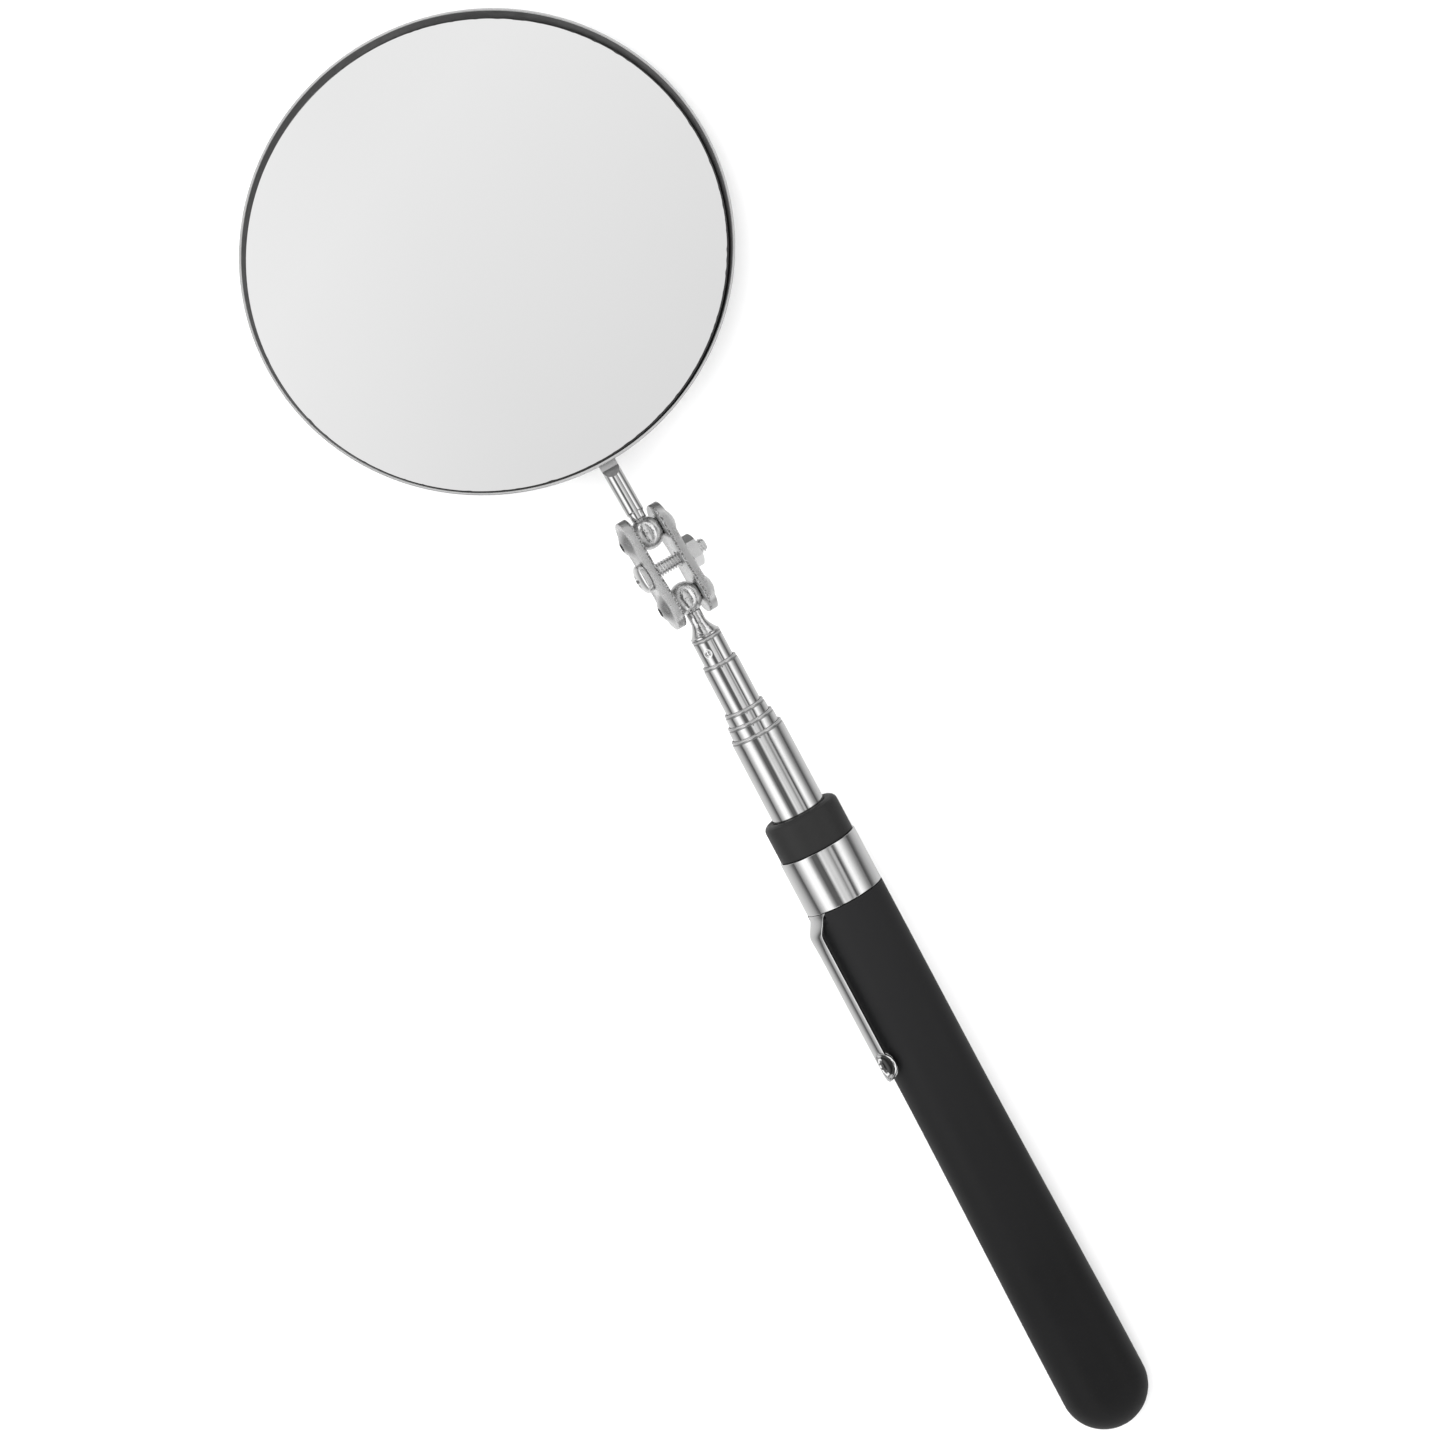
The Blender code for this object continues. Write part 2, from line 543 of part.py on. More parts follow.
def stand_on_origin(root):
    """Moves the whole object so that the middle of its underside is at the origin."""
    bpy.context.view_layer.update()
    graph = bpy.context.evaluated_depsgraph_get()
    corners = []
    for piece in bpy.context.scene.objects:
        if piece.type == "MESH" and not piece.hide_render:
            shown = piece.evaluated_get(graph)
            corners += [shown.matrix_world @ vert.co for vert in shown.data.vertices]
    low = Vector([min(corner[axis] for corner in corners) for axis in range(3)])
    high = Vector([max(corner[axis] for corner in corners) for axis in range(3)])
    root.location = (-(low.x + high.x) / 2, -(low.y + high.y) / 2, -low.z)
    bpy.context.view_layer.update()


def mirror_pitch(joint_height):
    """How far the mirror falls, so that its far back edge meets the surface that it lies on."""
    reach = STEM_TO_CENTRE + CUP_RADIUS - CUP_CORNER
    centre_height = STEM_FLAT_HEIGHT + FACE_GAP + CUP_CORNER
    span = math.hypot(reach, centre_height)
    return -(math.asin((joint_height - CUP_CORNER) / span) + math.atan2(centre_height, reach))


def main():
    for old in list(bpy.data.objects):
        bpy.data.objects.remove(old, do_unlink=True)
    rubber = make_material("black_rubber", (0.018, 0.018, 0.019), 0.62, 0.0)
    plastic = make_material("black_plastic", (0.035, 0.035, 0.036), 0.5, 0.0)
    chrome = make_material("chrome", (0.78, 0.78, 0.79), 0.08, 1.0)
    nickel = make_material("nickel", (0.6, 0.6, 0.6), 0.35, 1.0)
    zinc = make_material("zinc", (0.68, 0.68, 0.69), 0.28, 1.0)
    brass = make_material("brass", (0.72, 0.55, 0.26), 0.3, 1.0)
    foam = make_material("foam_tape", (0.75, 0.75, 0.73), 0.9, 0.0)
    silver = make_material("silvered_glass", (0.84, 0.84, 0.84), 0.02, 1.0)

    root = make_empty("mirror", None, (0.0, 0.0, 0.0))
    handle = make_empty("handle_frame", root, (0.0, 0.0, GRIP_END_RADIUS), (HANDLE_PITCH, 0.0, 0.0))
    grip = make_grip(handle, rubber)
    make_barrel(handle, zinc, plastic)
    make_ferrule(handle, chrome)
    make_collar(handle, plastic)
    make_clip(handle, chrome, grip)
    make_tubes(handle, chrome, brass)
    make_stud(handle, chrome)
    make_piece("lower_ball", ball_body(-1), handle, chrome, (0.0, BALL_Y, 0.0))

    lower = Vector((0.0, BALL_Y * math.cos(HANDLE_PITCH), GRIP_END_RADIUS + BALL_Y * math.sin(HANDLE_PITCH)))
    link = make_empty("link_frame", root, lower, (LINK_PITCH, LINK_ROLL, LINK_YAW))
    make_plate("link_plate_left", -1, link, nickel)
    make_plate("link_plate_right", 1, link, nickel)
    make_screw(link, zinc)
    make_nut(link, zinc)

    level = BALL_SPACING * math.cos(LINK_PITCH)
    step = (-level * math.sin(LINK_YAW), level * math.cos(LINK_YAW), BALL_SPACING * math.sin(LINK_PITCH))
    upper = lower + Vector(step)
    mirror = make_empty("mirror_frame", root, upper, (mirror_pitch(upper.z), 0.0, MIRROR_YAW))
    make_piece("upper_ball", ball_body(1), mirror, chrome)
    make_stem(mirror, chrome)
    make_mirror(mirror, zinc, foam, silver)
    stand_on_origin(root)


main()
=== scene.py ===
"""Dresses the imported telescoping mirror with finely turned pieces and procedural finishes.

Each operator builds one piece, or one group of like pieces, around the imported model. The
pieces take their places and their main sizes from the model's own solids and joints.
"""

import json
import math

import bmesh
import bpy
from bpy.props import FloatProperty, FloatVectorProperty, IntProperty, PointerProperty
from mathutils import Matrix, Vector, noise


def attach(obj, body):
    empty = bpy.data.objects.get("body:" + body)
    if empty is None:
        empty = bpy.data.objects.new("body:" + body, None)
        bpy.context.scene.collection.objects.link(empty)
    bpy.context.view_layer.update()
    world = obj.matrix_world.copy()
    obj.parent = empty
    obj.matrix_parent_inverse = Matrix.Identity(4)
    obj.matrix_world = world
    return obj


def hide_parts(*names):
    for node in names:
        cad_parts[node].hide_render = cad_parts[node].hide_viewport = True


bl_info = {
    "name": "Telescoping Mirror Finisher",
    "version": (1, 0, 0),
    "blender": (4, 5, 0),
    "location": "3D View > Sidebar > Mirror",
    "description": "Builds the fine pieces and the finishes of a telescoping mirror",
    "category": "Object",
}

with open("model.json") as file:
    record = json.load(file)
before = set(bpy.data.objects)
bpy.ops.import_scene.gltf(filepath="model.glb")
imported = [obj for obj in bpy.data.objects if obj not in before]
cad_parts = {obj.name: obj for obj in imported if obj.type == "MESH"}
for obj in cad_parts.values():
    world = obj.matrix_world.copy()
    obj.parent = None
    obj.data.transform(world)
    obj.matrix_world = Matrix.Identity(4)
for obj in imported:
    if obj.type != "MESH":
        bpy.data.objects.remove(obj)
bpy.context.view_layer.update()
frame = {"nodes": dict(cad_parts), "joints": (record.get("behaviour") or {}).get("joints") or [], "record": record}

MM = 0.001
UP = Vector((0.0, 0.0, 1.0))


# ---------------------------------------------------------------- places from the frame


def joint(name):
    """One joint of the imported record."""
    return next(item for item in frame["joints"] if item["name"] == name)


def axes(origin, along, across):
    """A frame with its origin, its Y axis and, as near as it can be, its X axis."""
    along = Vector(along).normalized()
    side = Vector(across)
    side = (side - along * side.dot(along)).normalized()
    matrix = Matrix((side, along, side.cross(along))).transposed().to_4x4()
    matrix.translation = Vector(origin)
    return matrix


def local(node, where):
    """A node's corners in a frame."""
    back = where.inverted()
    return [back @ vert.co for vert in frame["nodes"][node].data.vertices]


def span(node, where):
    """How far a node reaches along a frame's Y axis: (lowest, highest)."""
    places = [corner.y for corner in local(node, where)]
    return min(places), max(places)


def spread(node, where, low=-1.0, high=1.0):
    """The smallest and the largest distance of a node's corners from the Y axis, between two heights."""
    found = [math.hypot(c.x, c.z) for c in local(node, where) if low <= c.y <= high]
    return min(found), max(found)


LOWER_BALL = Vector(joint("lower_tilt")["pos_m"])
UPPER_BALL = Vector(joint("upper_tilt")["pos_m"])
HANDLE_AXIS = Vector(joint("tube_5_slide")["axis"]).normalized()
HANDLE_AT_BALL = axes(LOWER_BALL, HANDLE_AXIS, (1.0, 0.0, 0.0))
GRIP_LOW, GRIP_HIGH = span("grip_sleeve", HANDLE_AT_BALL)
GRIP_RADIUS = spread("grip_sleeve", HANDLE_AT_BALL)[1]
HANDLE = axes(LOWER_BALL + HANDLE_AXIS * (GRIP_LOW + GRIP_RADIUS), HANDLE_AXIS, (1.0, 0.0, 0.0))
BALL_Y = -(GRIP_LOW + GRIP_RADIUS)
LINK = axes(LOWER_BALL, UPPER_BALL - LOWER_BALL, joint("lower_tilt")["axis"])
BALL_SPACING = (UPPER_BALL - LOWER_BALL).length
MID_LINK = LINK @ Matrix.Translation((0.0, BALL_SPACING / 2, 0.0))
STEM_AXIS = Vector(joint("mirror_spin")["axis"])
MIRROR_FACE = frame["record"]["mounts"][0]
FACE_AXIS = Vector(MIRROR_FACE["axis"])
STEM = axes(UPPER_BALL, STEM_AXIS, STEM_AXIS.cross(FACE_AXIS))


def disc_frame(node):
    """A frame at the middle of a round flat node of the mirror, its Y axis out of the mirror's face."""
    seen = local(node, STEM)
    middle = [(min(c[k] for c in seen) + max(c[k] for c in seen)) / 2 for k in (0, 1)]
    low = min(c.z for c in seen)
    return axes(STEM @ Vector((middle[0], middle[1], low)), FACE_AXIS, STEM.to_3x3().col[0])


# Where along the grip the rubber's painted sheen fades in.
GRIP_SHEEN_FADES = ((HANDLE @ Vector((0.0, 0.02, 0.0))).y, (HANDLE @ Vector((0.0, 0.1, 0.0))).y)
CUP = disc_frame("mirror_cup")
GLASS = disc_frame("mirror_glass")


# ---------------------------------------------------------------- sizes and colours to change


def number(name, description, default):
    """A plain number that a user can change."""
    return FloatProperty(name=name, description=description, default=default)


def length(name, description, millimetres):
    """A length that a user can change."""
    return FloatProperty(name=name, description=description, default=millimetres * MM, unit="LENGTH")


def turn_of(name, description, degrees):
    """An angle that a user can change."""
    return FloatProperty(name=name, description=description, default=math.radians(degrees), subtype="ANGLE")


def tint(name, description, *levels):
    """A colour that a user can change: one level for a grey, or three."""
    levels = levels * 3 if len(levels) == 1 else levels
    return FloatVectorProperty(name=name, description=description, default=levels, subtype="COLOR")


class HandleSettings(bpy.types.PropertyGroup):
    """Sizes of the grip, its sleeve and clip, and the sliding tubes."""

    edge: length("Edge rounding", "Rounding on the turned edges", 0.14)
    grip_edge: length("Grip edge", "Rounding at the mouth of the soft grip", 0.35)
    clip_sheet: length("Clip sheet", "Thickness of the clip's spring sheet", 0.5)
    clip_dimple: length("Clip dimple", "Radius of the round dimple at the clip's tip", 2.35)
    stake_size: length("Staking mark", "Radius of the staked mark on the tip tube", 0.62)
    lip_height: length("Lip height", "Height of the rolled lip at each tube's mouth", 0.07)
    sides: IntProperty(name="Sides", description="How finely round pieces are divided", default=128, min=32)


class LinkSettings(bpy.types.PropertyGroup):
    """Sizes of the ball joint's plates and of its clamping screw."""

    plate_edge: length("Plate edge", "Rounding on the stamped plates' edges", 0.13)
    thread_pitch: length("Thread pitch", "Pitch of the clamping screw", 0.52)
    thread_depth: length("Thread depth", "Depth of the clamping screw's thread", 0.34)
    recess_width: length("Recess width", "Width of the screw head's cross recess", 0.6)


class MirrorSettings(bpy.types.PropertyGroup):
    """Sizes of the mirror's cup and glass."""

    cup_edge: length("Cup edge", "Rounding on the cup's rim", 0.12)
    glass_play: length("Glass fit", "How much wider than its core the glass is", 0.15)
    cup_taper: length("Cup taper", "How much the cup narrows towards its back", 1.1)
    cup_sides: IntProperty(name="Cup sides", description="How finely the cup is divided", default=256, min=64)
    chip_depth: length("Edge chips", "Depth of the fine chips along the glass's edge", 0.09)


class FinishSettings(bpy.types.PropertyGroup):
    """Colours of the finishes."""

    chrome: tint("Chrome", "Bright plating of the tubes", 0.66)
    nickel: tint("Nickel", "Matt plating of the link's plates", 0.64)
    zinc: tint("Zinc", "Plating of the screw and nut", 0.84)
    steel: tint("Cup steel", "Bright steel of the mirror's cup", 0.62)
    silver: tint("Mirror silver", "Reflection of the glass", 0.87)
    rubber: tint("Grip rubber", "Colour of the soft grip", 0.0045, 0.0045, 0.0047)
    plastic: tint("Collar plastic", "Colour of the collar", 0.012)


class StageSettings(bpy.types.PropertyGroup):
    """The floor, the light and the camera."""

    floor: tint("Floor", "Colour of the floor", 0.92)
    sky: number("Reflected light", "Strength of the studio's panels", 1.7)
    key: number("Overhead light", "Power of the soft overhead light", 32.0)
    distance: length("Camera distance", "From the camera to the object", 2000.0)
    scale: number("Camera scale", "Picture widths per metre at the object", 4.1498)
    tilt: turn_of("Camera tilt", "The camera's lean from straight down", -2.4)
    lean: turn_of("Camera lean", "The camera's lean to one side", -0.88)
    turn: turn_of("Camera turn", "The camera's turn about its line of sight", -28.13)


SETTINGS = {
    "mirror_handle": HandleSettings,
    "mirror_link": LinkSettings,
    "mirror_head": MirrorSettings,
    "mirror_finish": FinishSettings,
    "mirror_stage": StageSettings,
}


# ---------------------------------------------------------------- mesh tools


def profile_of(node, where):
    """A turned node's outline as (radius, along) points in order, read from its mesh.

    It starts on the axis where the outline does, and is a closed loop for a hollow node."""
    mesh = frame["nodes"][node].data
    back = where.inverted()
    keys = []
    for vert in mesh.vertices:
        corner = back @ vert.co
        keys.append((round(math.hypot(corner.x, corner.z) * 2e5), round(corner.y * 2e5)))
    linked = {}
    for edge in mesh.edges:
        one, two = (keys[index] for index in edge.vertices)
        if one != two:
            linked.setdefault(one, set()).add(two)
            linked.setdefault(two, set()).add(one)
    ends = sorted((key for key, others in linked.items() if len(others) == 1), key=lambda key: key[1])
    order = [ends[0] if ends else min(linked)]
    while True:
        onward = sorted(linked[order[-1]] - set(order), key=lambda key: (len(linked[key]) != 2, key))
        if not onward:
            break
        order.append(onward[0])
    outline = [(radius / 2e5, along / 2e5) for radius, along in order]
    if ends:
        outline = [(0.0, outline[0][1]), *outline, (0.0, outline[-1][1])]
    return outline, not ends


def limits(profile):
    """An outline's smallest and largest radius, and its lowest and highest place."""
    radii, places = zip(*profile)
    return min(radii), max(radii), min(places), max(places)


def corner_turn(before, here, after):
    """How sharply a polyline turns at a point, in radians."""
    one = Vector(here) - Vector(before)
    two = Vector(after) - Vector(here)
    if one.length < 1e-9 or two.length < 1e-9:
        return 0.0
    return one.angle(two)


def rounded(profile, fillet, closed=False, steps=4, sharp=math.radians(28.0)):
    """The same outline with its sharp corners rounded. The fillet may be a function of the corner."""
    made = []
    count = len(profile)
    for index, here in enumerate(profile):
        if not closed and index in (0, count - 1):
            made.append(here)
            continue
        before, after = profile[index - 1], profile[(index + 1) % count]
        size = fillet(here) if callable(fillet) else fillet
        if corner_turn(before, here, after) < sharp or size <= 0.0:
            made.append(here)
            continue
        point = Vector(here)
        back, ahead = Vector(before) - point, Vector(after) - point
        start = point + back * min(size / back.length, 0.46)
        end = point + ahead * min(size / ahead.length, 0.46)
        for step in range(steps + 1):
            share = step / steps
            curve = start * (1 - share) ** 2 + point * 2 * share * (1 - share) + end * share**2
            made.append((curve.x, curve.y))
    return made


def divided(profile, longest):
    """The same outline with no straight stretch longer than a length."""
    made = [profile[0]]
    for here, after in zip(profile, profile[1:]):
        pieces = max(1, math.ceil(math.dist(here, after) / longest))
        for piece in range(1, pieces + 1):
            share = piece / pieces
            made.append(tuple(a + (b - a) * share for a, b in zip(here, after)))
    return made


def finely(profile, low, high, step):
    """The same closed outline, divided finely between two heights only."""
    made = []
    for here, after in zip(profile, [*profile[1:], profile[0]]):
        made.append(here)
        bottom, top = sorted((here[1], after[1]))
        if top <= low or bottom >= high or top - bottom < step:
            continue
        marks = [low + step * number for number in range(int((high - low) / step) + 1)]
        inside = [mark for mark in marks if bottom < mark < top]
        if after[1] < here[1]:
            inside.reverse()
        run = after[1] - here[1]
        made += [(here[0] + (after[0] - here[0]) * (mark - here[1]) / run, mark) for mark in inside]
    return made


def arc(centre, radius, start, end, steps):
    """Points (across, along) on an arc, with its angles in degrees from the across axis."""
    points = []
    for step in range(steps + 1):
        angle = math.radians(start + (end - start) * step / steps)
        points.append((centre[0] + radius * math.cos(angle), centre[1] + radius * math.sin(angle)))
    return points


def lathe(profile, sides, closed=False, shape=None, material_at=None):
    """A body turned about Y. A shape function may move each point (radius, along, angle)."""
    bm = bmesh.new()
    rings = []
    for radius, along in profile:
        if radius < 1e-6:
            rings.append([bm.verts.new((0.0, along, 0.0))])
            continue
        ring = []
        for side in range(sides):
            angle = math.tau * side / sides
            r, y = shape(radius, along, angle) if shape else (radius, along)
            ring.append(bm.verts.new((r * math.cos(angle), y, r * math.sin(angle))))
        rings.append(ring)
    for one in range(len(rings) if closed else len(rings) - 1):
        two = (one + 1) % len(rings)
        first, second = rings[one], rings[two]
        for side in range(sides):
            ahead = (side + 1) % sides
            if len(first) == 1 and len(second) == 1:
                break
            if len(first) == 1:
                corners = (first[0], second[side], second[ahead])
            elif len(second) == 1:
                corners = (first[side], second[0], first[ahead])
            else:
                corners = (first[side], second[side], second[ahead], first[ahead])
            face = bm.faces.new(corners)
            if material_at:
                face.material_index = material_at(profile[one], profile[two])
    bmesh.ops.recalc_face_normals(bm, faces=bm.faces)
    return bm


def slab(outline, low, high):
    """A body with a (y, z) outline, extruded along X from low to high."""
    bm = bmesh.new()
    face = bm.faces.new([bm.verts.new((low, y, z)) for y, z in outline])
    made = bmesh.ops.extrude_face_region(bm, geom=[face])["geom"]
    lifted = [item for item in made if isinstance(item, bmesh.types.BMVert)]
    bmesh.ops.translate(bm, verts=lifted, vec=(high - low, 0.0, 0.0))
    bmesh.ops.recalc_face_normals(bm, faces=bm.faces)
    return bm


def along_x(bm):
    """Turns a body made about Y so that it stands along X."""
    bmesh.ops.rotate(bm, verts=bm.verts, cent=(0, 0, 0), matrix=Matrix.Rotation(math.radians(-90), 3, "Z"))
    return bm


def moved(bm, offset):
    """Moves a body."""
    bmesh.ops.translate(bm, verts=bm.verts, vec=offset)
    return bm


def bevelled(bm, size, segments=2, angle=math.radians(35.0)):
    """Rounds the sharp edges of a body."""
    edges = [edge for edge in bm.edges if len(edge.link_faces) == 2 and edge.calc_face_angle() > angle]
    bmesh.ops.bevel(
        bm, geom=edges, offset=size, segments=segments, profile=0.5, affect="EDGES", clamp_overlap=True
    )
    return bm


def bell(away, millimetres):
    """A smooth bump: 1 at its middle, and falling off over a width in millimetres."""
    return math.exp(-((away / (millimetres * MM)) ** 2))


def eased(share):
    """A share from 0 to 1 that starts and ends slowly."""
    return share * share * (3 - 2 * share)


def turned_about(angle, middle):
    """How far an angle is from another, the short way round."""
    return (angle - middle + math.pi) % math.tau - math.pi


def quads(rows, around=False):
    """The corners of each face between rows of points, which may close on themselves."""
    for one, two in zip(rows, rows[1:]):
        for side in range(len(one) - (not around)):
            ahead = (side + 1) % len(one)
            yield one[side], two[side], two[ahead], one[ahead]


def mesh_object(name, bm):
    """An object from a body, not yet placed."""
    mesh = bpy.data.meshes.new(name)
    bm.to_mesh(mesh)
    bm.free()
    made = bpy.data.objects.new(name, mesh)
    bpy.context.scene.collection.objects.link(made)
    return made


def applied(made):
    """Turns an object with modifiers into a plain mesh."""
    bpy.context.view_layer.update()
    shown = made.evaluated_get(bpy.context.evaluated_depsgraph_get())
    mesh = bpy.data.meshes.new_from_object(shown)
    if not mesh.polygons:
        raise RuntimeError(f"{made.name}: its modifiers left nothing")
    made.modifiers.clear()
    made.data = mesh


def carved(name, body, steps):
    """A body after a row of (operation, other body) Booleans, as one object with a plain mesh."""
    made = mesh_object(name, body)
    others = []
    for number, (operation, other) in enumerate(steps):
        others.append(mesh_object(f"{name}_tool_{number}", other))
        change = made.modifiers.new(f"step_{number}", "BOOLEAN")
        change.operation, change.solver, change.object = operation, "EXACT", others[-1]
    applied(made)
    for tool in others:
        bpy.data.objects.remove(tool)
    return made


def settle(made, where, body, node, coats, smooth=math.radians(32.0)):
    """Places a piece, gives it its finishes, lets it ride with its body and stand for its node."""
    made.data.transform(where)
    made.data.shade_smooth()
    made.data.set_sharp_from_angle(angle=smooth)
    for coat in coats.split():
        made.data.materials.append(finishes()[coat])
    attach(made, body)
    if node:
        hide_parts(node)


# ---------------------------------------------------------------- shader groups


def add(tree, kind, links=None, **values):
    """A node with its properties set. Links and socket values are given by input name or number."""
    made = tree.nodes.new(kind)
    for key, value in values.items():
        setattr(made, key, value)
    for key, value in (links or {}).items():
        if isinstance(value, bpy.types.NodeSocket):
            tree.links.new(value, made.inputs[key])
        else:
            made.inputs[key].default_value = value
    return made


def place_on(tree):
    """The place on the piece."""
    return add(tree, "ShaderNodeTexCoord").outputs["Object"]


def cloud(tree, scale, detail, roughness=0.5):
    """Noise over the piece."""
    links = {"Vector": place_on(tree), "Scale": scale, "Detail": detail, "Roughness": roughness}
    return add(tree, "ShaderNodeTexNoise", links).outputs[0]


def cells(tree, scale):
    """Small cells over the piece."""
    return add(tree, "ShaderNodeTexVoronoi", {"Vector": place_on(tree), "Scale": scale}).outputs["Distance"]


def mask_of(tree, value, low, high):
    """A mask that opens as a value goes from low to high."""
    return add(tree, "ShaderNodeMapRange", {"Value": value, "From Min": low, "From Max": high}).outputs[0]


def counted(tree, operation, one, two):
    """Two values brought together by a sum."""
    return add(tree, "ShaderNodeMath", {0: one, 1: two}, operation=operation).outputs[0]


def drawn_grain(tree, given):
    """Lines drawn along a piece's Y axis: stretched noise, as height and as a mask."""
    turned = add(tree, "ShaderNodeMapping", {"Vector": place_on(tree), "Rotation": given["Turn"]}).outputs[0]
    reach = {"X": given["Across"], "Y": given["Along"], "Z": given["Across"]}
    scale = add(tree, "ShaderNodeCombineXYZ", reach).outputs[0]
    stretched = add(tree, "ShaderNodeVectorMath", {0: turned, 1: scale}, operation="MULTIPLY").outputs[0]
    links = {"Vector": stretched, "Scale": 1.0, "Detail": 4.0, "Roughness": 0.6}
    fine = add(tree, "ShaderNodeTexNoise", links).outputs[0]
    return {"Height": fine, "Mask": mask_of(tree, fine, 0.42, 0.68)}


def handling(tree, given):
    """Finger marks and dust: a broad soft mask and a fine speckle."""
    smudge = mask_of(tree, cloud(tree, given["Broad"], 3.0), 0.35, 0.7)
    fine = cloud(tree, given["Fine"], 2.0)
    return {"Smudge": smudge, "Speck": mask_of(tree, fine, 0.62, 0.74), "Height": fine}


def edge_wear_and_shade(tree, given):
    """Wear on outer edges, broken up by noise, and painted shade in the hollows."""
    shape = add(tree, "ShaderNodeNewGeometry").outputs["Pointiness"]
    high, low = (counted(tree, way, 0.5, given["Reach"]) for way in ("ADD", "SUBTRACT"))
    worn = counted(tree, "MULTIPLY", mask_of(tree, shape, 0.505, high), cloud(tree, given["Break"], 3.0))
    # The hollow mask darkens concave places as painted shade.
    return {"Worn": worn, "Painted_Hollow_Shade": mask_of(tree, shape, 0.495, low)}


EFFECTS = {
    "drawn_grain": (drawn_grain, {"Turn": (0.0, 0.0, 0.0), "Across": 3000.0, "Along": 60.0}),
    "handling": (handling, {"Broad": 160.0, "Fine": 2600.0}),
    "edge_wear_and_shade": (edge_wear_and_shade, {"Reach": 0.06, "Break": 900.0}),
}


def new_group(name):
    """Builds one of the shared effects as a shader group with named inputs and outputs."""
    build, inputs = EFFECTS[name]
    group = bpy.data.node_groups.new(name, "ShaderNodeTree")
    for label, default in inputs.items():
        kind = "NodeSocketVector" if isinstance(default, tuple) else "NodeSocketFloat"
        socket = group.interface.new_socket(name=label, in_out="INPUT", socket_type=kind)
        socket.default_value = default
    made = build(group, group.nodes.new("NodeGroupInput").outputs)
    for label in made:
        group.interface.new_socket(name=label, in_out="OUTPUT", socket_type="NodeSocketFloat")
    end = group.nodes.new("NodeGroupOutput")
    for label, value in made.items():
        group.links.new(value, end.inputs[label])
    return group


def effect(tree, name, **values):
    """Places one of the shared effects in a material with its own values, and gives its outputs."""
    group = bpy.data.node_groups.get(name) or new_group(name)
    return add(tree, "ShaderNodeGroup", values, node_tree=group).outputs


# ---------------------------------------------------------------- finishes


def shade(colour, factor):
    """A colour made darker or lighter, with its alpha."""
    return (*(min(1.0, part * factor) for part in colour), 1.0)


def new_material(name, **sockets):
    """A material with its Principled shader's own sockets set."""
    material = bpy.data.materials.new(name)
    material.use_nodes = True
    shader = material.node_tree.nodes["Principled BSDF"]
    for label, value in sockets.items():
        shader.inputs[label.replace("_", " ")].default_value = value
    return material, material.node_tree, shader


def ramped(tree, factor, low, high):
    """A value that runs from low to high with a mask."""
    return add(tree, "ShaderNodeMapRange", {"Value": factor, "To Min": low, "To Max": high}).outputs[0]


def mixed(tree, factor, one, two, blend="MIX"):
    """A colour mixed from two by a mask."""
    links = {0: factor, 6: one, 7: two}
    return add(tree, "ShaderNodeMix", links, data_type="RGBA", blend_type=blend).outputs[2]


def bumped(tree, height, strength, depth, below=None):
    """A normal bent by a height, with its depth in millimetres, over another normal or none."""
    links = {"Height": height, "Strength": strength, "Distance": depth * MM}
    if below is not None:
        links["Normal"] = below
    return add(tree, "ShaderNodeBump", links).outputs[0]


def joined(tree, shader, colour, rough, normal):
    """Gives the shader its colour, roughness and normal."""
    for label, value in (("Base Color", colour), ("Roughness", rough), ("Normal", normal)):
        tree.links.new(value, shader.inputs[label])


def coated(name, colour, marks, tints, layers, rough, relief, wear=None, **sockets):
    """A finish of layered tints of one colour.

    marks are the scales of the finger marks and specks, and tints the two shades between the
    finger marks. Each layer is a mask and a factor, each relief a height, a strength and a depth."""
    material, tree, shader = new_material(name, **sockets)
    marks_and_sheen = effect(tree, "handling", Broad=marks[0], Fine=marks[1])
    # The edge group gives real edge wear and a painted shade in the hollows.
    worn = effect(tree, "edge_wear_and_shade", **wear) if wear else None
    shown = mixed(tree, marks_and_sheen["Smudge"], shade(colour, tints[0]), shade(colour, tints[1]))
    for mask, factor in layers:
        if callable(mask):
            mask = mask(tree)
        else:
            mask = marks_and_sheen["Speck"] if mask == "Speck" else worn[mask]
        shown = mixed(tree, mask, shown, shade(colour, factor))
    normal = None
    for height, strength, depth in relief:
        height = height(tree) if callable(height) else marks_and_sheen["Height"]
        normal = bumped(tree, height, strength, depth, normal)
    joined(tree, shader, shown, ramped(tree, marks_and_sheen["Smudge"], *rough), normal)
    return material


def plated(name, colour, turn, low=0.05, high=0.13, lines=0.12, grain=0.05, across=2600.0, spot=0.86):
    """Bright plating: drawn lines under the plating, finger marks, and a fine pebble."""

    def drawn(tree):
        return effect(tree, "drawn_grain", Turn=turn, Across=across, Along=30.0)["Height"]

    layers = (("Speck", spot), ("Worn", 1.12))
    relief = ((drawn, lines, 0.02), ("Height", grain, 0.02))
    marks, wear = (220.0, 3800.0), {"Reach": 0.08}
    return coated(name, colour, marks, (1.0, 0.965), layers, (low, high), relief, wear, Metallic=1.0)


def cast_plating(name, colour):
    """Plating over a rough turned part: the same brightness, broken into small facets."""
    relief = ((lambda tree: cloud(tree, 1150.0, 3.0, 0.6), 0.8, 0.1),)
    marks, wear = (500.0, 2200.0), {"Reach": 0.07}
    # Hollows are darkened to 0.45 as painted shade.
    layers, rough = (("Painted_Hollow_Shade", 0.45),), (0.07, 0.18)
    return coated(name, colour, marks, (1.0, 0.9), layers, rough, relief, wear, Metallic=1.0)


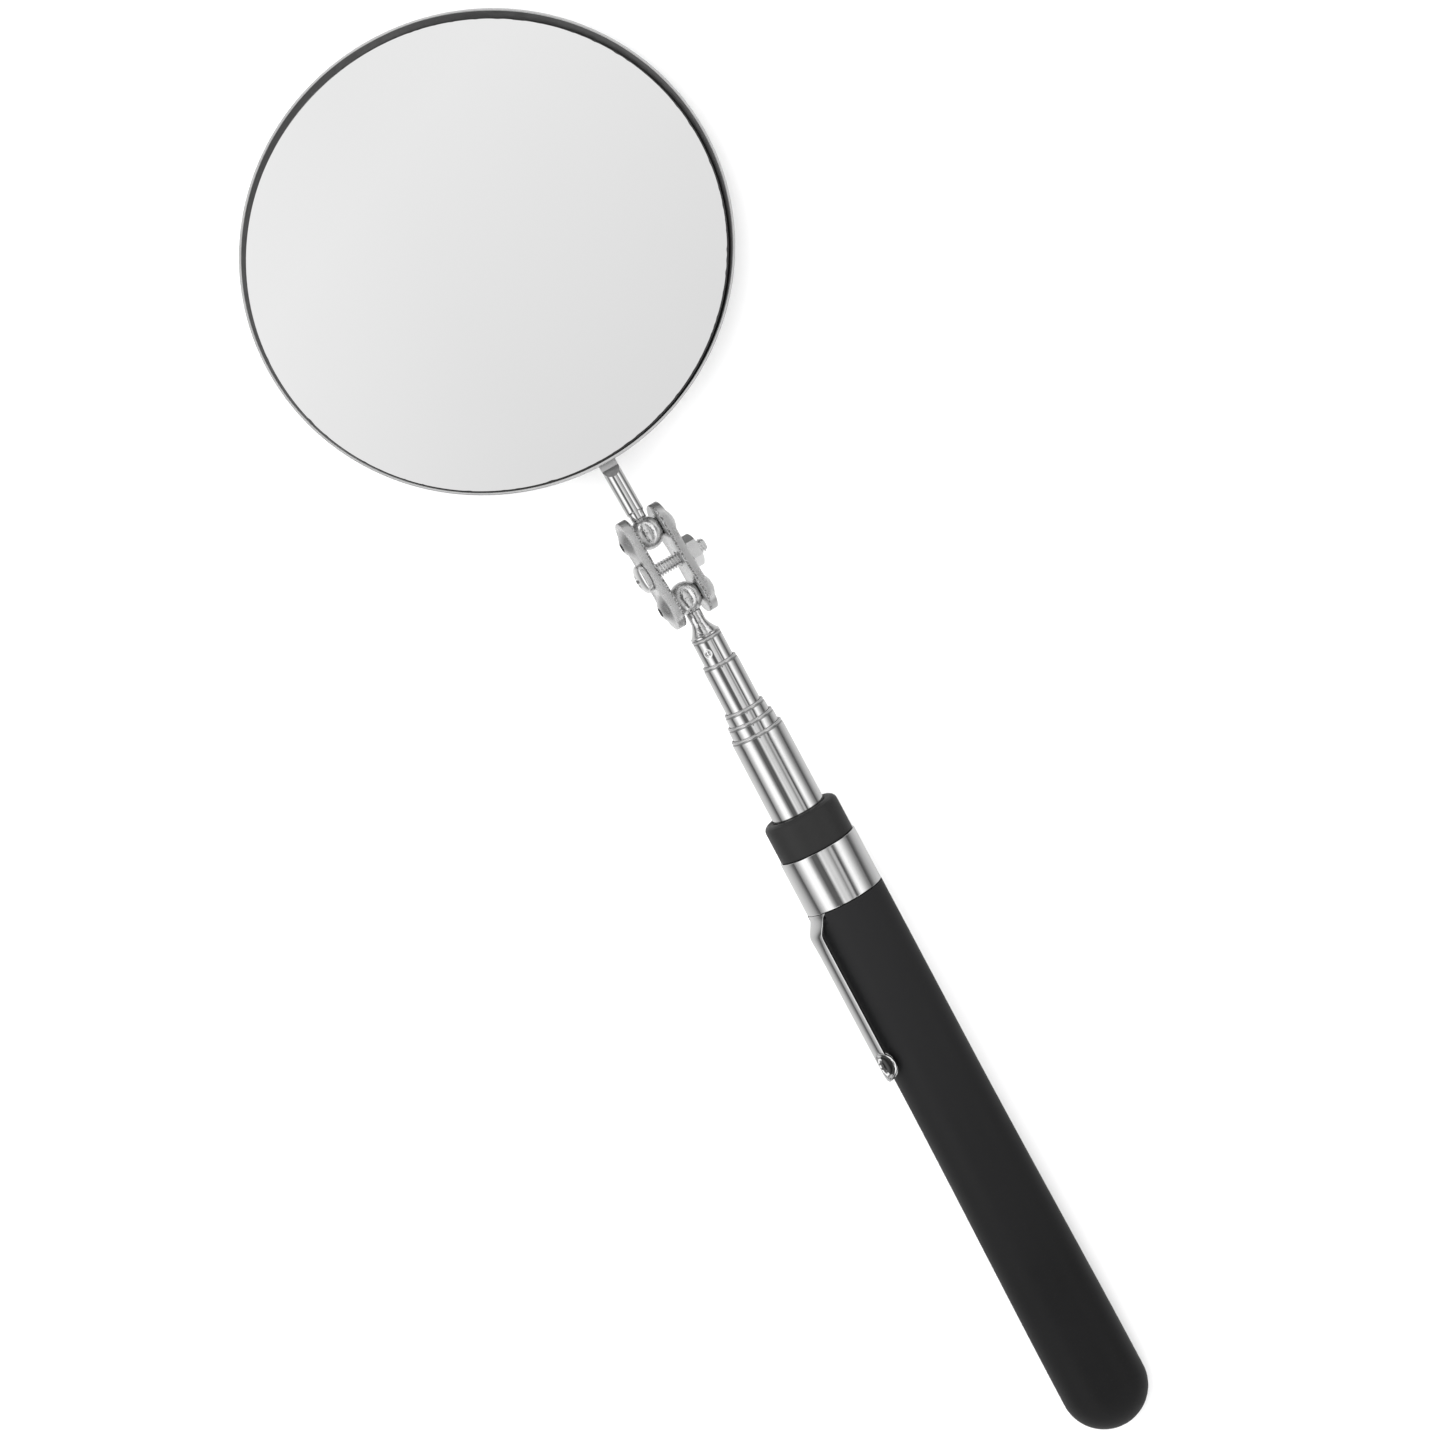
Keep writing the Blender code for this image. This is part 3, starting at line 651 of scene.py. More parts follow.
def stamped_nickel(name, colour):
    """Matt plating on stamped sheet: an even grain, worn bright on its edges, with painted shade in its hollows.
    """
    # Hollows are darkened to half as painted shade.
    layers = (("Speck", 0.72), ("Worn", 1.3), ("Painted_Hollow_Shade", 0.5))
    marks, wear = (420.0, 5200.0), {"Reach": 0.07, "Break": 1500.0}
    relief = (("Height", 0.5, 0.04),)
    return coated(name, colour, marks, (1.04, 0.93), layers, (0.22, 0.34), relief, wear, Metallic=1.0)


def torn_edge(name, colour):
    """The torn zone of a stamped edge: rough, pitted and dark between bright grains."""
    material, tree, shader = new_material(name, Metallic=1.0)
    pits = cloud(tree, 3400.0, 3.0, 0.7)
    mask = mask_of(tree, pits, 0.44, 0.58)
    shown = mixed(tree, mask, shade(colour, 0.25), shade(colour, 1.15))
    joined(tree, shader, shown, ramped(tree, mask, 0.5, 0.3), bumped(tree, pits, 0.8, 0.09))
    return material


def soft_rubber(name, colour):
    """Smooth moulded rubber: a fine skin texture, and a painted sheen that lightens it along the grip."""

    def marks_and_sheen(tree):
        along = add(tree, "ShaderNodeSeparateXYZ", {0: place_on(tree)}).outputs["Y"]
        return mask_of(tree, along, *GRIP_SHEEN_FADES)

    # The grip's colour lightens along its length as a painted sheen.
    layers = (("Speck", 1.9), (marks_and_sheen, 2.6), ("Worn", 4.0))
    relief = ((lambda tree: cells(tree, 5200.0), 0.12, 0.02), ("Height", 0.15, 0.02))
    marks, wear, rough = (70.0, 4200.0), {"Reach": 0.05}, (0.52, 0.64)
    return coated(name, colour, marks, (0.9, 1.25), layers, rough, relief, wear, Specular_IOR_Level=0.2)


def moulded_plastic(name, colour):
    """Satin black plastic with a fine even grain."""
    layers, relief = (("Worn", 1.5),), (("Height", 0.3, 0.02),)
    marks, wear, rough = (260.0, 6500.0), {"Reach": 0.06, "Break": 1200.0}, (0.46, 0.56)
    return coated(name, colour, marks, (0.94, 1.08), layers, rough, relief, wear, Specular_IOR_Level=0.3)


def silvered(name, colour):
    """The glass's silvered face: a reflection with the faintest haze, and a painted shade that darkens it towards
    larger X and smaller Y.
    """
    material, tree, shader = new_material(name, Metallic=1.0)
    haze = cloud(tree, 26.0, 2.0)
    fall = add(tree, "ShaderNodeSeparateXYZ", {0: place_on(tree)}).outputs
    # A painted shade: the reflection is darkened to 0.86 across the glass.
    slope = counted(tree, "SUBTRACT", counted(tree, "MULTIPLY", fall["X"], 0.45), fall["Y"])
    soft = mixed(tree, haze, shade(colour, 1.0), shade(colour, 0.985))
    shown = mixed(tree, mask_of(tree, slope, -0.115, -0.04), soft, (0.86, 0.86, 0.86, 1.0), "MULTIPLY")
    joined(tree, shader, shown, ramped(tree, haze, 0.012, 0.03), bumped(tree, haze, 0.004, 0.02))
    return material


def ground_edge(name, colour, low=0.3, high=0.55):
    """A ground or painted edge: uneven, matt, with brighter chips."""
    relief = (("Height", 0.5, 0.04),)
    marks, layers = (700.0, 3600.0), (("Speck", 1.6),)
    return coated(name, colour, marks, (0.8, 1.1), layers, (low, high), relief, Specular_IOR_Level=0.4)


def soft_foam(name, colour):
    """Foam tape: open cells and a slight unevenness."""
    material, tree, shader = new_material(name, Roughness=0.9)
    cell = cells(tree, 2600.0)
    shown = mixed(tree, cell, shade(colour, 1.05), shade(colour, 0.7))
    joined(tree, shader, shown, ramped(tree, cell, 0.95, 0.8), bumped(tree, cell, 0.6, 0.06))
    return material


def grey(level):
    """A grey of one level."""
    return (level, level, level)


FINISHES = {}


def finishes():
    """Every finish of the object, made once from the scene's settings."""
    if FINISHES:
        return FINISHES
    set_to = bpy.context.scene.mirror_finish
    chrome = set_to.chrome
    pitch = (-math.asin(HANDLE_AXIS.z), 0.0, 0.0)
    fall = (-math.asin(STEM_AXIS.z), 0.0, 0.0)
    FINISHES.update(
        tube=plated("chromed_tube", chrome, pitch),
        lip=plated("rolled_lip", grey(0.66), pitch, 0.42, 0.5),
        # The groove behind each tube's lip is coloured dark as painted shade.
        groove=plated("groove_painted_shade", grey(0.34), pitch, 0.3, 0.4),
        sleeve=plated("chromed_sleeve", chrome, pitch, 0.06, 0.12, lines=0.16, across=1700.0),
        # The dimple's near-black plating is a painted reflection of the black grip.
        dimple=plated("dimple_painted_reflection", grey(0.06), pitch, 0.1, 0.25),
        # The stem's chrome is made 8% lighter than the tubes' as painted light, for its brighter reflection.
        stem=plated("chromed_stem", shade(chrome, 1.08)[:3], fall, 0.04, 0.1),
        milled=plated("milled_flat", grey(0.8), fall, 0.3, 0.45, lines=0.6, across=900.0),
        ball=cast_plating("chromed_ball", shade(chrome, 1.04)[:3]),
        plate=stamped_nickel("stamped_nickel", set_to.nickel),
        torn=torn_edge("torn_edge", set_to.nickel),
        zinc=plated("zinc_plating", set_to.zinc, fall, 0.16, 0.3, lines=0.1, grain=0.25, spot=0.8),
        cup=plated("bright_steel", set_to.steel, fall, 0.12, 0.22, lines=0.2, grain=0.1),
        # The cup's inner wall is coloured near black as painted shade of the gap round the glass.
        cup_inside=ground_edge("cup_wall_painted_shade", grey(0.045), 0.35, 0.6),
        silver=silvered("silvered_glass", set_to.silver),
        glass_edge=ground_edge("ground_glass_edge", (0.1, 0.105, 0.1)),
        bevel=plated("glass_bevel", grey(0.9), fall, 0.05, 0.2, lines=0.0, grain=0.3),
        rubber=soft_rubber("grip_rubber", set_to.rubber),
        plastic=moulded_plastic("collar_plastic", set_to.plastic),
        foam=soft_foam("foam_tape", (0.62, 0.62, 0.6)),
        brass=plated("spring_brass", (0.72, 0.53, 0.25), pitch, 0.2, 0.36, lines=0.3),
        barrel=plated("barrel_steel", (0.5, 0.5, 0.51), pitch, 0.25, 0.4, lines=0.3),
    )
    return FINISHES


# ---------------------------------------------------------------- handle


CLIP_BEND = 0.56  # the share of the core's length that the bend at the root takes


def clip_line():
    """The clip's middle line as (out, along) points in the handle's frame, its width, and its azimuth."""
    hinge = HANDLE.inverted() @ Vector(joint("clip_flex")["pos_m"])
    azimuth = math.atan2(hinge.z, hinge.x)
    out = Vector((math.cos(azimuth), 0.0, math.sin(azimuth)))
    side = Vector((-math.sin(azimuth), 0.0, math.cos(azimuth)))
    corners = [(c.dot(out), c.y, c.dot(side)) for c in local("pocket_clip", HANDLE)]
    half = max(c[2] for c in corners)
    seen = {(round(c[0], 6), round(c[1], 6)) for c in corners if c[2] > half * 0.9}
    flank = sorted((Vector(point) for point in seen), key=lambda point: -point.y)
    sheet = (flank[0] - flank[1]).length
    middle = []
    while flank:
        first = flank.pop(0)
        partner = min(flank, key=lambda point: abs((point - first).length - sheet))
        flank.remove(partner)
        middle.append((first + partner) / 2)
    root = middle[0].y
    crest = max(range(len(middle)), key=lambda index: middle[index].x)
    for point in middle[: crest + 1]:
        point.y = root - (root - point.y) * CLIP_BEND
    return middle, half, azimuth


class MIRROR_OT_grip(bpy.types.Operator):
    """Builds the soft grip with its round end, its mouth pressed in under the clip's root."""

    bl_idname = "mirror.grip"
    bl_label = "Grip"

    def execute(self, context):
        settings = context.scene.mirror_handle
        high = span("grip_sleeve", HANDLE)[1]
        top = spread("grip_sleeve", HANDLE, high - 5 * MM, high)[1]
        bore = spread("barrel", HANDLE)[1] + 0.1 * MM
        floor = span("barrel", HANDLE)[0] - 0.1 * MM
        outer = {(round(c.y, 6), round(math.hypot(c.x, c.z), 6)) for c in local("grip_sleeve", HANDLE)}
        swell_end = min(y for y, r in outer if y > 0 and abs(r - top) < 0.02 * MM)
        profile = arc((0.0, 0.0), GRIP_RADIUS, -90, 0, 36)
        profile[0] = (0.0, -GRIP_RADIUS)
        for step in range(1, 33):
            share = step / 32
            profile.append((GRIP_RADIUS + (top - GRIP_RADIUS) * eased(share), swell_end * share))
        profile += divided([(top, swell_end), (top, high - 6 * MM)], 1.5 * MM)[1:]
        profile += divided([(top, high - 6 * MM), (top, high)], 0.2 * MM)[1:]
        corner = len(profile) - 1
        profile += [(bore, high), (bore, floor), (0.0, floor)]
        edge = settings.grip_edge
        mouth = rounded(profile[corner - 3 :], lambda here: edge if here[0] > bore * 1.02 else 0.0, steps=6)
        profile = profile[: corner - 3] + mouth
        middle, half, azimuth = clip_line()
        sheet = settings.clip_sheet

        def pressed(radius, along, angle):
            if along < high - 5 * MM or radius < top - 1.2 * MM:
                return radius, along
            apart = abs(turned_about(angle, azimuth)) * top
            inner = min((abs(p.y - along), p.x) for p in middle)[1] - sheet / 2 - 0.12 * MM
            ease = eased(min(max((half + 0.75 * MM - apart) / (0.55 * MM), 0.0), 1.0))
            return radius + min(0.0, inner - radius) * ease, along

        made = mesh_object("soft_grip", lathe(profile, 160, shape=pressed))
        settle(made, HANDLE, "handle", "grip_sleeve", "rubber")
        return {"FINISHED"}


class MIRROR_OT_sleeve(bpy.types.Operator):
    """Builds the bright sleeve between the grip and the collar."""

    bl_idname = "mirror.sleeve"
    bl_label = "Clip Sleeve"

    def execute(self, context):
        settings = context.scene.mirror_handle
        profile, closed = profile_of("clip_sleeve", HANDLE)
        outer = limits(profile)[1]
        soft = rounded(profile, lambda here: settings.edge * (1.3 if here[0] > outer * 0.99 else 0.6), closed)
        made = mesh_object("bright_sleeve", lathe(soft, settings.sides, closed))
        settle(made, HANDLE, "handle", "clip_sleeve", "sleeve")
        return {"FINISHED"}


class MIRROR_OT_clip(bpy.types.Operator):
    """Builds the pocket clip: a sprung arm, crowned across, with a round dimple pressed into its tip."""

    bl_idname = "mirror.clip"
    bl_label = "Pocket Clip"

    def execute(self, context):
        settings = context.scene.mirror_handle
        middle, half, azimuth = clip_line()
        root = middle[0]
        crest = max(range(len(middle)), key=lambda index: middle[index].x)
        tip = middle[-1]
        line = [*(tuple(point) for point in middle[: crest + 1]), tuple(tip)]
        line = divided(rounded(line, 1.0 * MM, steps=6, sharp=0.02), 0.16 * MM)
        dimple = settings.clip_dimple
        deepest = min(middle[crest:], key=lambda point: point.x)
        depth = tip.x - deepest.x
        across = 36
        hollow = set()
        bm = bmesh.new()
        rows = []
        for out, along in line:
            down = root.y - along
            share = min(max((along - tip.y) / half, 0.0), 1.0)
            width = half * math.sqrt(max(1 - (1 - share) ** 2, 0.0009)) if along < tip.y + half else half
            width *= 0.84 + 0.16 * bell(down, 4.0) + 0.3 * bell(down, 0.45)
            bowl = max(width, math.sqrt(max(0.0, (dimple + 0.2 * MM) ** 2 - (along - deepest.y) ** 2)))
            curve = (3.3 + 3.7 * bell(down, 3.5)) * MM
            row = []
            for step in range(across + 1):
                u = -width + (width + bowl) * step / across
                reach = math.hypot((u - 0.6 * MM) * 1.35, along - deepest.y) / dimple
                pressed = depth * (1 - reach**2.6) ** 0.9 if reach < 1 else 0.0
                row.append(bm.verts.new((u, along, out - u * u / (2 * curve) - pressed)))
                if pressed > depth * 0.3:
                    hollow.add(row[-1])
            rows.append(row)
        for corners in quads(rows):
            # Faces deep in the dimple take the near-black plating, a painted reflection of the grip.
            bm.faces.new(corners).material_index = int(hollow.issuperset(corners))
        bmesh.ops.recalc_face_normals(bm, faces=bm.faces)
        arm = mesh_object("clip_arm", bm)
        thick = arm.modifiers.new("sheet", "SOLIDIFY")
        thick.thickness, thick.offset, thick.use_even_offset = settings.clip_sheet, 0.0, False
        soft = arm.modifiers.new("edges", "BEVEL")
        soft.width, soft.segments = 0.12 * MM, 2
        soft.limit_method, soft.angle_limit = "ANGLE", math.radians(60)
        applied(arm)
        stand = HANDLE @ Matrix.Rotation(math.pi / 2 - azimuth, 4, "Y")
        settle(arm, stand, "pocket_clip", "pocket_clip", "sleeve dimple")
        return {"FINISHED"}


class MIRROR_OT_collar(bpy.types.Operator):
    """Builds the black collar, its bore's edge a little uneven."""

    bl_idname = "mirror.collar"
    bl_label = "Collar"

    def execute(self, context):
        settings = context.scene.mirror_handle
        profile, closed = profile_of("collar", HANDLE)
        lip, _, _, high = limits(profile)

        def fillet(here):
            return 0.3 * MM if here[0] < lip * 1.01 and here[1] > high * 0.999 else settings.edge

        def uneven(radius, along, angle):
            near = max(0.0, 1 - (high - along) / (1.0 * MM)) * max(0.0, 1 - (radius - lip) / (1.0 * MM))
            spot = Vector((math.cos(angle), math.sin(angle), 0.0)) * 2.6
            wave = noise.noise(spot) * 0.16 * MM + noise.noise(spot * 5.0) * 0.07 * MM
            return radius + max(0.0, wave) * near, along - abs(wave) * near

        soft = rounded(profile, fillet, closed)
        made = mesh_object("black_collar", lathe(soft, 192, closed, uneven))
        settle(made, HANDLE, "handle", "collar", "plastic")
        return {"FINISHED"}


SWAGE = 1.6 * MM  # the length of a tube's swaged mouth
FINE_REACH = 3.4 * MM  # how far behind its mouth a tube is finely divided
OUTSIDE = 0.75 * MM  # how far inside its largest radius a tube's outer face still counts as such
LIP_END = 0.36 * MM  # from the mouth to the end of the rolled lip
GROOVE_START, GROOVE_END = 0.42 * MM, 0.66 * MM  # the groove behind the lip
STAKE_BEHIND = 2.6 * MM  # from the tip tube's mouth to its staked mark
STAKE_TURN = math.radians(116.0)  # where round the tip tube the staked mark lies


class MIRROR_OT_tubes(bpy.types.Operator):
    """Builds the five sliding tubes with their swaged mouths, and the staked mark on the tip tube."""

    bl_idname = "mirror.tubes"
    bl_label = "Sliding Tubes"

    def execute(self, context):
        settings = context.scene.mirror_handle
        for name in ("tube_5", "tube_4", "tube_3", "tube_2", "tip_tube"):
            profile, closed = profile_of(name, HANDLE)
            _, wide, _, front = limits(profile)

            def fillet(here, wide=wide, swage=front - SWAGE):
                return 0.45 * MM if here[0] > wide * 0.999 and here[1] > swage else 0.07 * MM

            soft = rounded(profile, fillet, closed, steps=8, sharp=math.radians(8))
            soft = finely(soft, front - FINE_REACH, front - 0.02 * MM, 0.06 * MM)
            stake = settings.stake_size if name == "tip_tube" else 0.0
            shape = self.rim(front, wide, settings.lip_height, stake)

            # The lip band keeps a duller plating; the groove band takes a dark painted shade.
            def band(low, high, front=front, wide=wide):
                behind = front - (low[1] + high[1]) / 2
                if min(low[0], high[0]) < wide - OUTSIDE or behind > GROOVE_END:
                    return 0
                return 1 if behind < LIP_END else 2 if behind > GROOVE_START else 0

            turned = lathe(soft, 160, closed, shape, band)
            made = mesh_object(name.replace("tube_", "slide_").replace("tip_tube", "slide_tip"), turned)
            settle(made, HANDLE, name, name, "tube lip groove")
        return {"FINISHED"}

    def rim(self, front, wide, lip, stake):
        """The rolled lip at a tube's mouth and, with a size, the ring-shaped mark staked behind it."""
        seat = front - STAKE_BEHIND

        def shape(radius, along, angle):
            if radius < wide - OUTSIDE:
                return radius, along
            behind = front - along
            roll = bell(behind - 0.16 * MM, 0.12) * lip
            groove = bell(behind - 0.48 * MM, 0.12) * lip
            ring = 0.0
            if stake and radius > wide * 0.97:
                apart = turned_about(angle, STAKE_TURN) * wide
                reach = math.hypot(apart, along - seat) / stake
                ring = math.exp(-(((reach - 0.78) / 0.26) ** 2)) * 0.11 * MM
            return radius + roll - groove - ring, along

        return shape


# ---------------------------------------------------------------- ball joint


def neck_of(node, where):
    """A ball's or a stud's neck: the radius of the outline's flat end towards the ball."""
    high = span(node, where)[1]
    return spread(node, where, high - 0.01 * MM, high + 0.01 * MM)[1]


class MIRROR_OT_balls(bpy.types.Operator):
    """Builds the stud with its cone and neck, and the two balls."""

    bl_idname = "mirror.balls"
    bl_label = "Stud and Balls"

    def execute(self, context):
        settings = context.scene.mirror_handle
        low, high = span("ball_stud", HANDLE)
        neck = neck_of("ball_stud", HANDLE)
        wide = spread("ball_stud", HANDLE)[1]
        front = span("tip_tube", HANDLE)[1]
        spigot = spread("ball_stud", HANDLE, low, low + 1 * MM)[1]
        cone = max(c.y for c in local("ball_stud", HANDLE) if math.hypot(c.x, c.z) > neck * 1.02)
        ring = 0.45 * MM
        profile = [(0.0, low), (spigot, low), (spigot, front + 0.06 * MM), (wide, front + 0.06 * MM)]
        profile += [(wide, front + ring * 0.8), (wide * 0.93, front + ring)]
        for step in range(1, 17):
            share = step / 16
            flare = neck + (wide * 0.93 - neck) * (1 - share) ** 1.5
            profile.append((flare, front + ring + (cone - front - ring) * share))
        profile += [(neck, high), (0.0, high)]
        soft = rounded(profile, lambda here: 0.14 * MM if here[0] > neck * 1.3 else 0.02 * MM, steps=4)
        made = mesh_object("stud", lathe(divided(soft, 0.4 * MM), settings.sides))
        settle(made, HANDLE, "tip_tube", "ball_stud", "ball")
        self.ball("ball_lower", "lower_ball", HANDLE @ Matrix.Translation((0.0, BALL_Y, 0.0)), -1, neck)
        self.ball("ball_upper", "upper_ball", STEM, 1, neck)
        return {"FINISHED"}

    def ball(self, name, node, where, toward, neck):
        """One ball, its neck flat facing down or up the Y axis."""
        radius = spread(node, where)[1]
        foot = math.degrees(math.acos(neck / radius))
        profile = [(0.0, -radius * math.sin(math.radians(foot)))]
        profile += arc((0.0, 0.0), radius, -foot, 90, 44)
        profile[-1] = (0.0, radius)
        bm = lathe([(r, -toward * y) for r, y in profile], 96)
        made = mesh_object(name, bm)
        settle(made, where, node, node, "ball", smooth=math.radians(50))


def off_screw(corner):
    """How far a corner in the link's frame lies from the clamping screw's axis."""
    return math.hypot(corner.y - BALL_SPACING / 2, corner.z)


def screw_radius():
    """The clamping screw's outside radius, read away from its head."""
    return max(off_screw(corner) for corner in local("clamp_screw", LINK) if corner.x > -2 * MM)


def drill(outline, sides, along=0.0):
    """A turned tool that stands along X, at a place along the link."""
    return moved(along_x(lathe(outline, sides)), (0.0, along, 0.0))


class MIRROR_OT_plates(bpy.types.Operator):
    """Builds the link's two stamped plates with their pressed domes and holes."""

    bl_idname = "mirror.plates"
    bl_label = "Link Plates"

    def execute(self, context):
        for name, side in (("left", -1), ("right", 1)):
            corners = [Vector((side * c.x, c.y, c.z)) for c in local(f"link_plate_{name}", LINK)]
            inner, top = min(c.x for c in corners), max(c.x for c in corners)
            end = max(c.y for c in corners) - BALL_SPACING
            near = [c for c in corners if abs(c.y - BALL_SPACING / 2) < 0.2 * MM and c.x < inner + 3 * MM]
            waist = max(c.z for c in near)
            face = max(c.x for c in corners if c.y > BALL_SPACING + end * 0.9)
            self.plate(context, name, side, inner, face - inner, top - face, end, waist)
        return {"FINISHED"}

    def plate(self, context, name, side, inner, sheet, rise, end, waist):
        """One plate: an outline with round ends, bevelled, its domes raised and its seats sunk."""
        ball = spread("lower_ball", HANDLE @ Matrix.Translation((0.0, BALL_Y, 0.0)))[1]
        tilt = math.degrees(math.acos((end - waist) / BALL_SPACING * 2))
        outline = arc((BALL_SPACING, 0.0), end, -tilt, tilt, 40)
        outline += [(BALL_SPACING * share, waist) for share in (0.62, 0.38)]
        outline += arc((0.0, 0.0), end, 180 - tilt, 180 + tilt, 40)
        outline += [(BALL_SPACING * share, -waist) for share in (0.38, 0.62)]
        outer = inner + sheet
        blank = bevelled(slab(outline, inner, outer), context.scene.mirror_link.plate_edge, 3)
        torn = inner + sheet * 0.26
        whole = [*blank.verts, *blank.edges, *blank.faces]
        bmesh.ops.bisect_plane(blank, geom=whole, plane_co=(torn, 0.0, 0.0), plane_no=(1.0, 0.0, 0.0))
        steps = []
        wide, crest = 2.98 * MM, outer + rise
        for along in (0.0, BALL_SPACING):
            crown = [(0.0, inner + sheet / 2), (wide, inner + sheet / 2), (wide, outer)]
            for step in range(1, 21):
                radius = wide * (1 - step / 20)
                crown.append((radius, outer + rise * (1 - (radius / wide) ** 2) ** 1.3))
            steps.append(("UNION", drill(crown, 72, along)))
            seat = bmesh.new()
            bmesh.ops.create_uvsphere(seat, u_segments=64, v_segments=32, radius=ball + 0.07 * MM)
            steps.append(("DIFFERENCE", moved(seat, (0.0, along, 0.0))))
            bore = [(0.0, inner / 2), (0.8 * MM, inner / 2), (0.8 * MM, crest - 0.16 * MM)]
            bore += [(1.05 * MM, crest + 0.06 * MM), (0.0, crest + 0.06 * MM)]
            steps.append(("DIFFERENCE", drill(bore, 40, along)))
        screw = screw_radius() + 0.12 * MM
        hole = [(0.0, inner / 2), (screw, inner / 2), (screw, inner + sheet * 2), (0.0, inner + sheet * 2)]
        steps.append(("DIFFERENCE", drill(hole, 48, BALL_SPACING / 2)))
        made = carved(f"plate_{name}", blank, steps)
        for face in made.data.polygons:
            place = face.center
            edge = abs(face.normal.x) < 0.35 and inner + 0.06 * MM < place.x < torn
            outside = abs(place.z) > waist * 0.8 or not 0 < place.y < BALL_SPACING
            face.material_index = int(edge and outside)
        if side < 0:
            made.data.transform(Matrix.Diagonal((-1.0, 1.0, 1.0, 1.0)))
            made.data.flip_normals()
        settle(made, LINK, "link", f"link_plate_{name}", "plate torn")


class MIRROR_OT_fasteners(bpy.types.Operator):
    """Builds the clamping screw with its thread and cross recess, and the hexagon nut."""

    bl_idname = "mirror.fasteners"
    bl_label = "Screw and Nut"

    def execute(self, context):
        settings = context.scene.mirror_link
        corners = local("clamp_screw", LINK)
        low, high = min(c.x for c in corners), max(c.x for c in corners)
        head = max(map(off_screw, corners))
        under = max(c.x for c in corners if off_screw(c) > head * 0.99)
        self.head(settings, low, under, head)
        self.shank(settings, under + 0.05 * MM, high)
        self.nut()
        return {"FINISHED"}

    def head(self, settings, low, under, wide):
        """The screw's domed head with its cross recess."""
        neck = screw_radius() * 0.7
        crown = [(0.0, low)]
        for step in range(1, 15):
            turn = math.pi / 2 * step / 14
            crown.append((wide * math.sin(turn), low + (under - low) * 0.58 * (1 - math.cos(turn))))
        crown += [(wide, under - 0.12 * MM), (wide - 0.12 * MM, under), (neck, under)]
        crown += [(neck, under + 0.4 * MM), (0.0, under + 0.4 * MM)]
        steps = []
        across, thin = 1.4 * MM, settings.recess_width / 2
        for y, z, narrow_y, narrow_z in ((thin, across, 0.8, 0.55), (across, thin, 0.55, 0.8)):
            wing = slab([(-y, -z), (y, -z), (y, z), (-y, z)], low - 0.5 * MM, low + 0.85 * MM)
            for vert in wing.verts:
                if vert.co.x > low:
                    vert.co.y *= narrow_y
                    vert.co.z *= narrow_z
            steps.append(("DIFFERENCE", wing))
        pocket = [(0.0, low - 0.2 * MM), (0.95 * MM, low - 0.2 * MM)]
        pocket += [(0.35 * MM, low + 1.1 * MM), (0.0, low + 1.25 * MM)]
        steps.append(("DIFFERENCE", drill(pocket, 32)))
        made = carved("screw_head", drill(rounded(crown, 0.05 * MM), 72), steps)
        settle(made, MID_LINK, "link", "clamp_screw", "zinc")

    def shank(self, settings, start, high):
        """The screw's shank with its cut thread, which runs out in a small chamfer."""
        radius, pitch = screw_radius(), settings.thread_pitch
        around, per_turn = 40, 10
        rings = int((high - start) / pitch * per_turn)
        bm = bmesh.new()
        rows = []
        for ring in range(rings + 1):
            x = start + (high - start) * ring / rings
            limit = radius - max(0.0, x - (high - 0.35 * MM)) * 0.9
            row = []
            for side in range(around):
                angle = math.tau * side / around
                phase = (x / pitch - side / around) % 1.0
                groove = min(1.0, max(0.0, 1.25 - abs(phase - 0.5) * 3.4))
                r = min(radius - settings.thread_depth * groove, limit)
                row.append(bm.verts.new((x, r * math.cos(angle), r * math.sin(angle))))
            rows.append(row)
        for corners in (*quads(rows, True), rows[0], rows[-1]):
            bm.faces.new(corners)
        bmesh.ops.recalc_face_normals(bm, faces=bm.faces)
        made = mesh_object("screw_shank", bm)
        settle(made, MID_LINK, "link", None, "zinc", smooth=math.radians(50))

    def nut(self):
        """The nut: a hexagon with chamfered corners and a chamfered bore."""
        corners = [c - Vector((0.0, BALL_SPACING / 2, 0.0)) for c in local("clamp_nut", LINK)]
        low, high = min(c.x for c in corners), max(c.x for c in corners)
        across = max(math.hypot(c.y, c.z) for c in corners)
        far = max(corners, key=lambda c: math.hypot(c.y, c.z))
        first = math.atan2(far.z, far.y)
        turns = [first + math.tau * corner / 6 for corner in range(6)]
        body = slab([(across * math.cos(turn), across * math.sin(turn)) for turn in turns], low, high)
        flat = across * math.cos(math.pi / 6)
        slope = (across - flat) * 0.62
        before, after, clear = low - 0.1 * MM, high + 0.1 * MM, across * 1.02
        cone = [(0.0, before), (flat, before), (flat * 1.01, low), (clear, low + slope)]
        cone += [(clear, high - slope), (flat * 0.97, high), (flat * 0.9, after), (0.0, after)]
        bore = screw_radius() + 0.05 * MM
        hole = [(0.0, before), (bore, before), (bore, high - 0.25 * MM)]
        hole += [(bore + 0.3 * MM, high + 0.05 * MM), (0.0, high + 0.05 * MM)]
        made = carved("nut", body, [("INTERSECT", drill(cone, 96)), ("DIFFERENCE", drill(hole, 48))])
        settle(made, MID_LINK, "link", "clamp_nut", "zinc", smooth=math.radians(20))


# ---------------------------------------------------------------- mirror


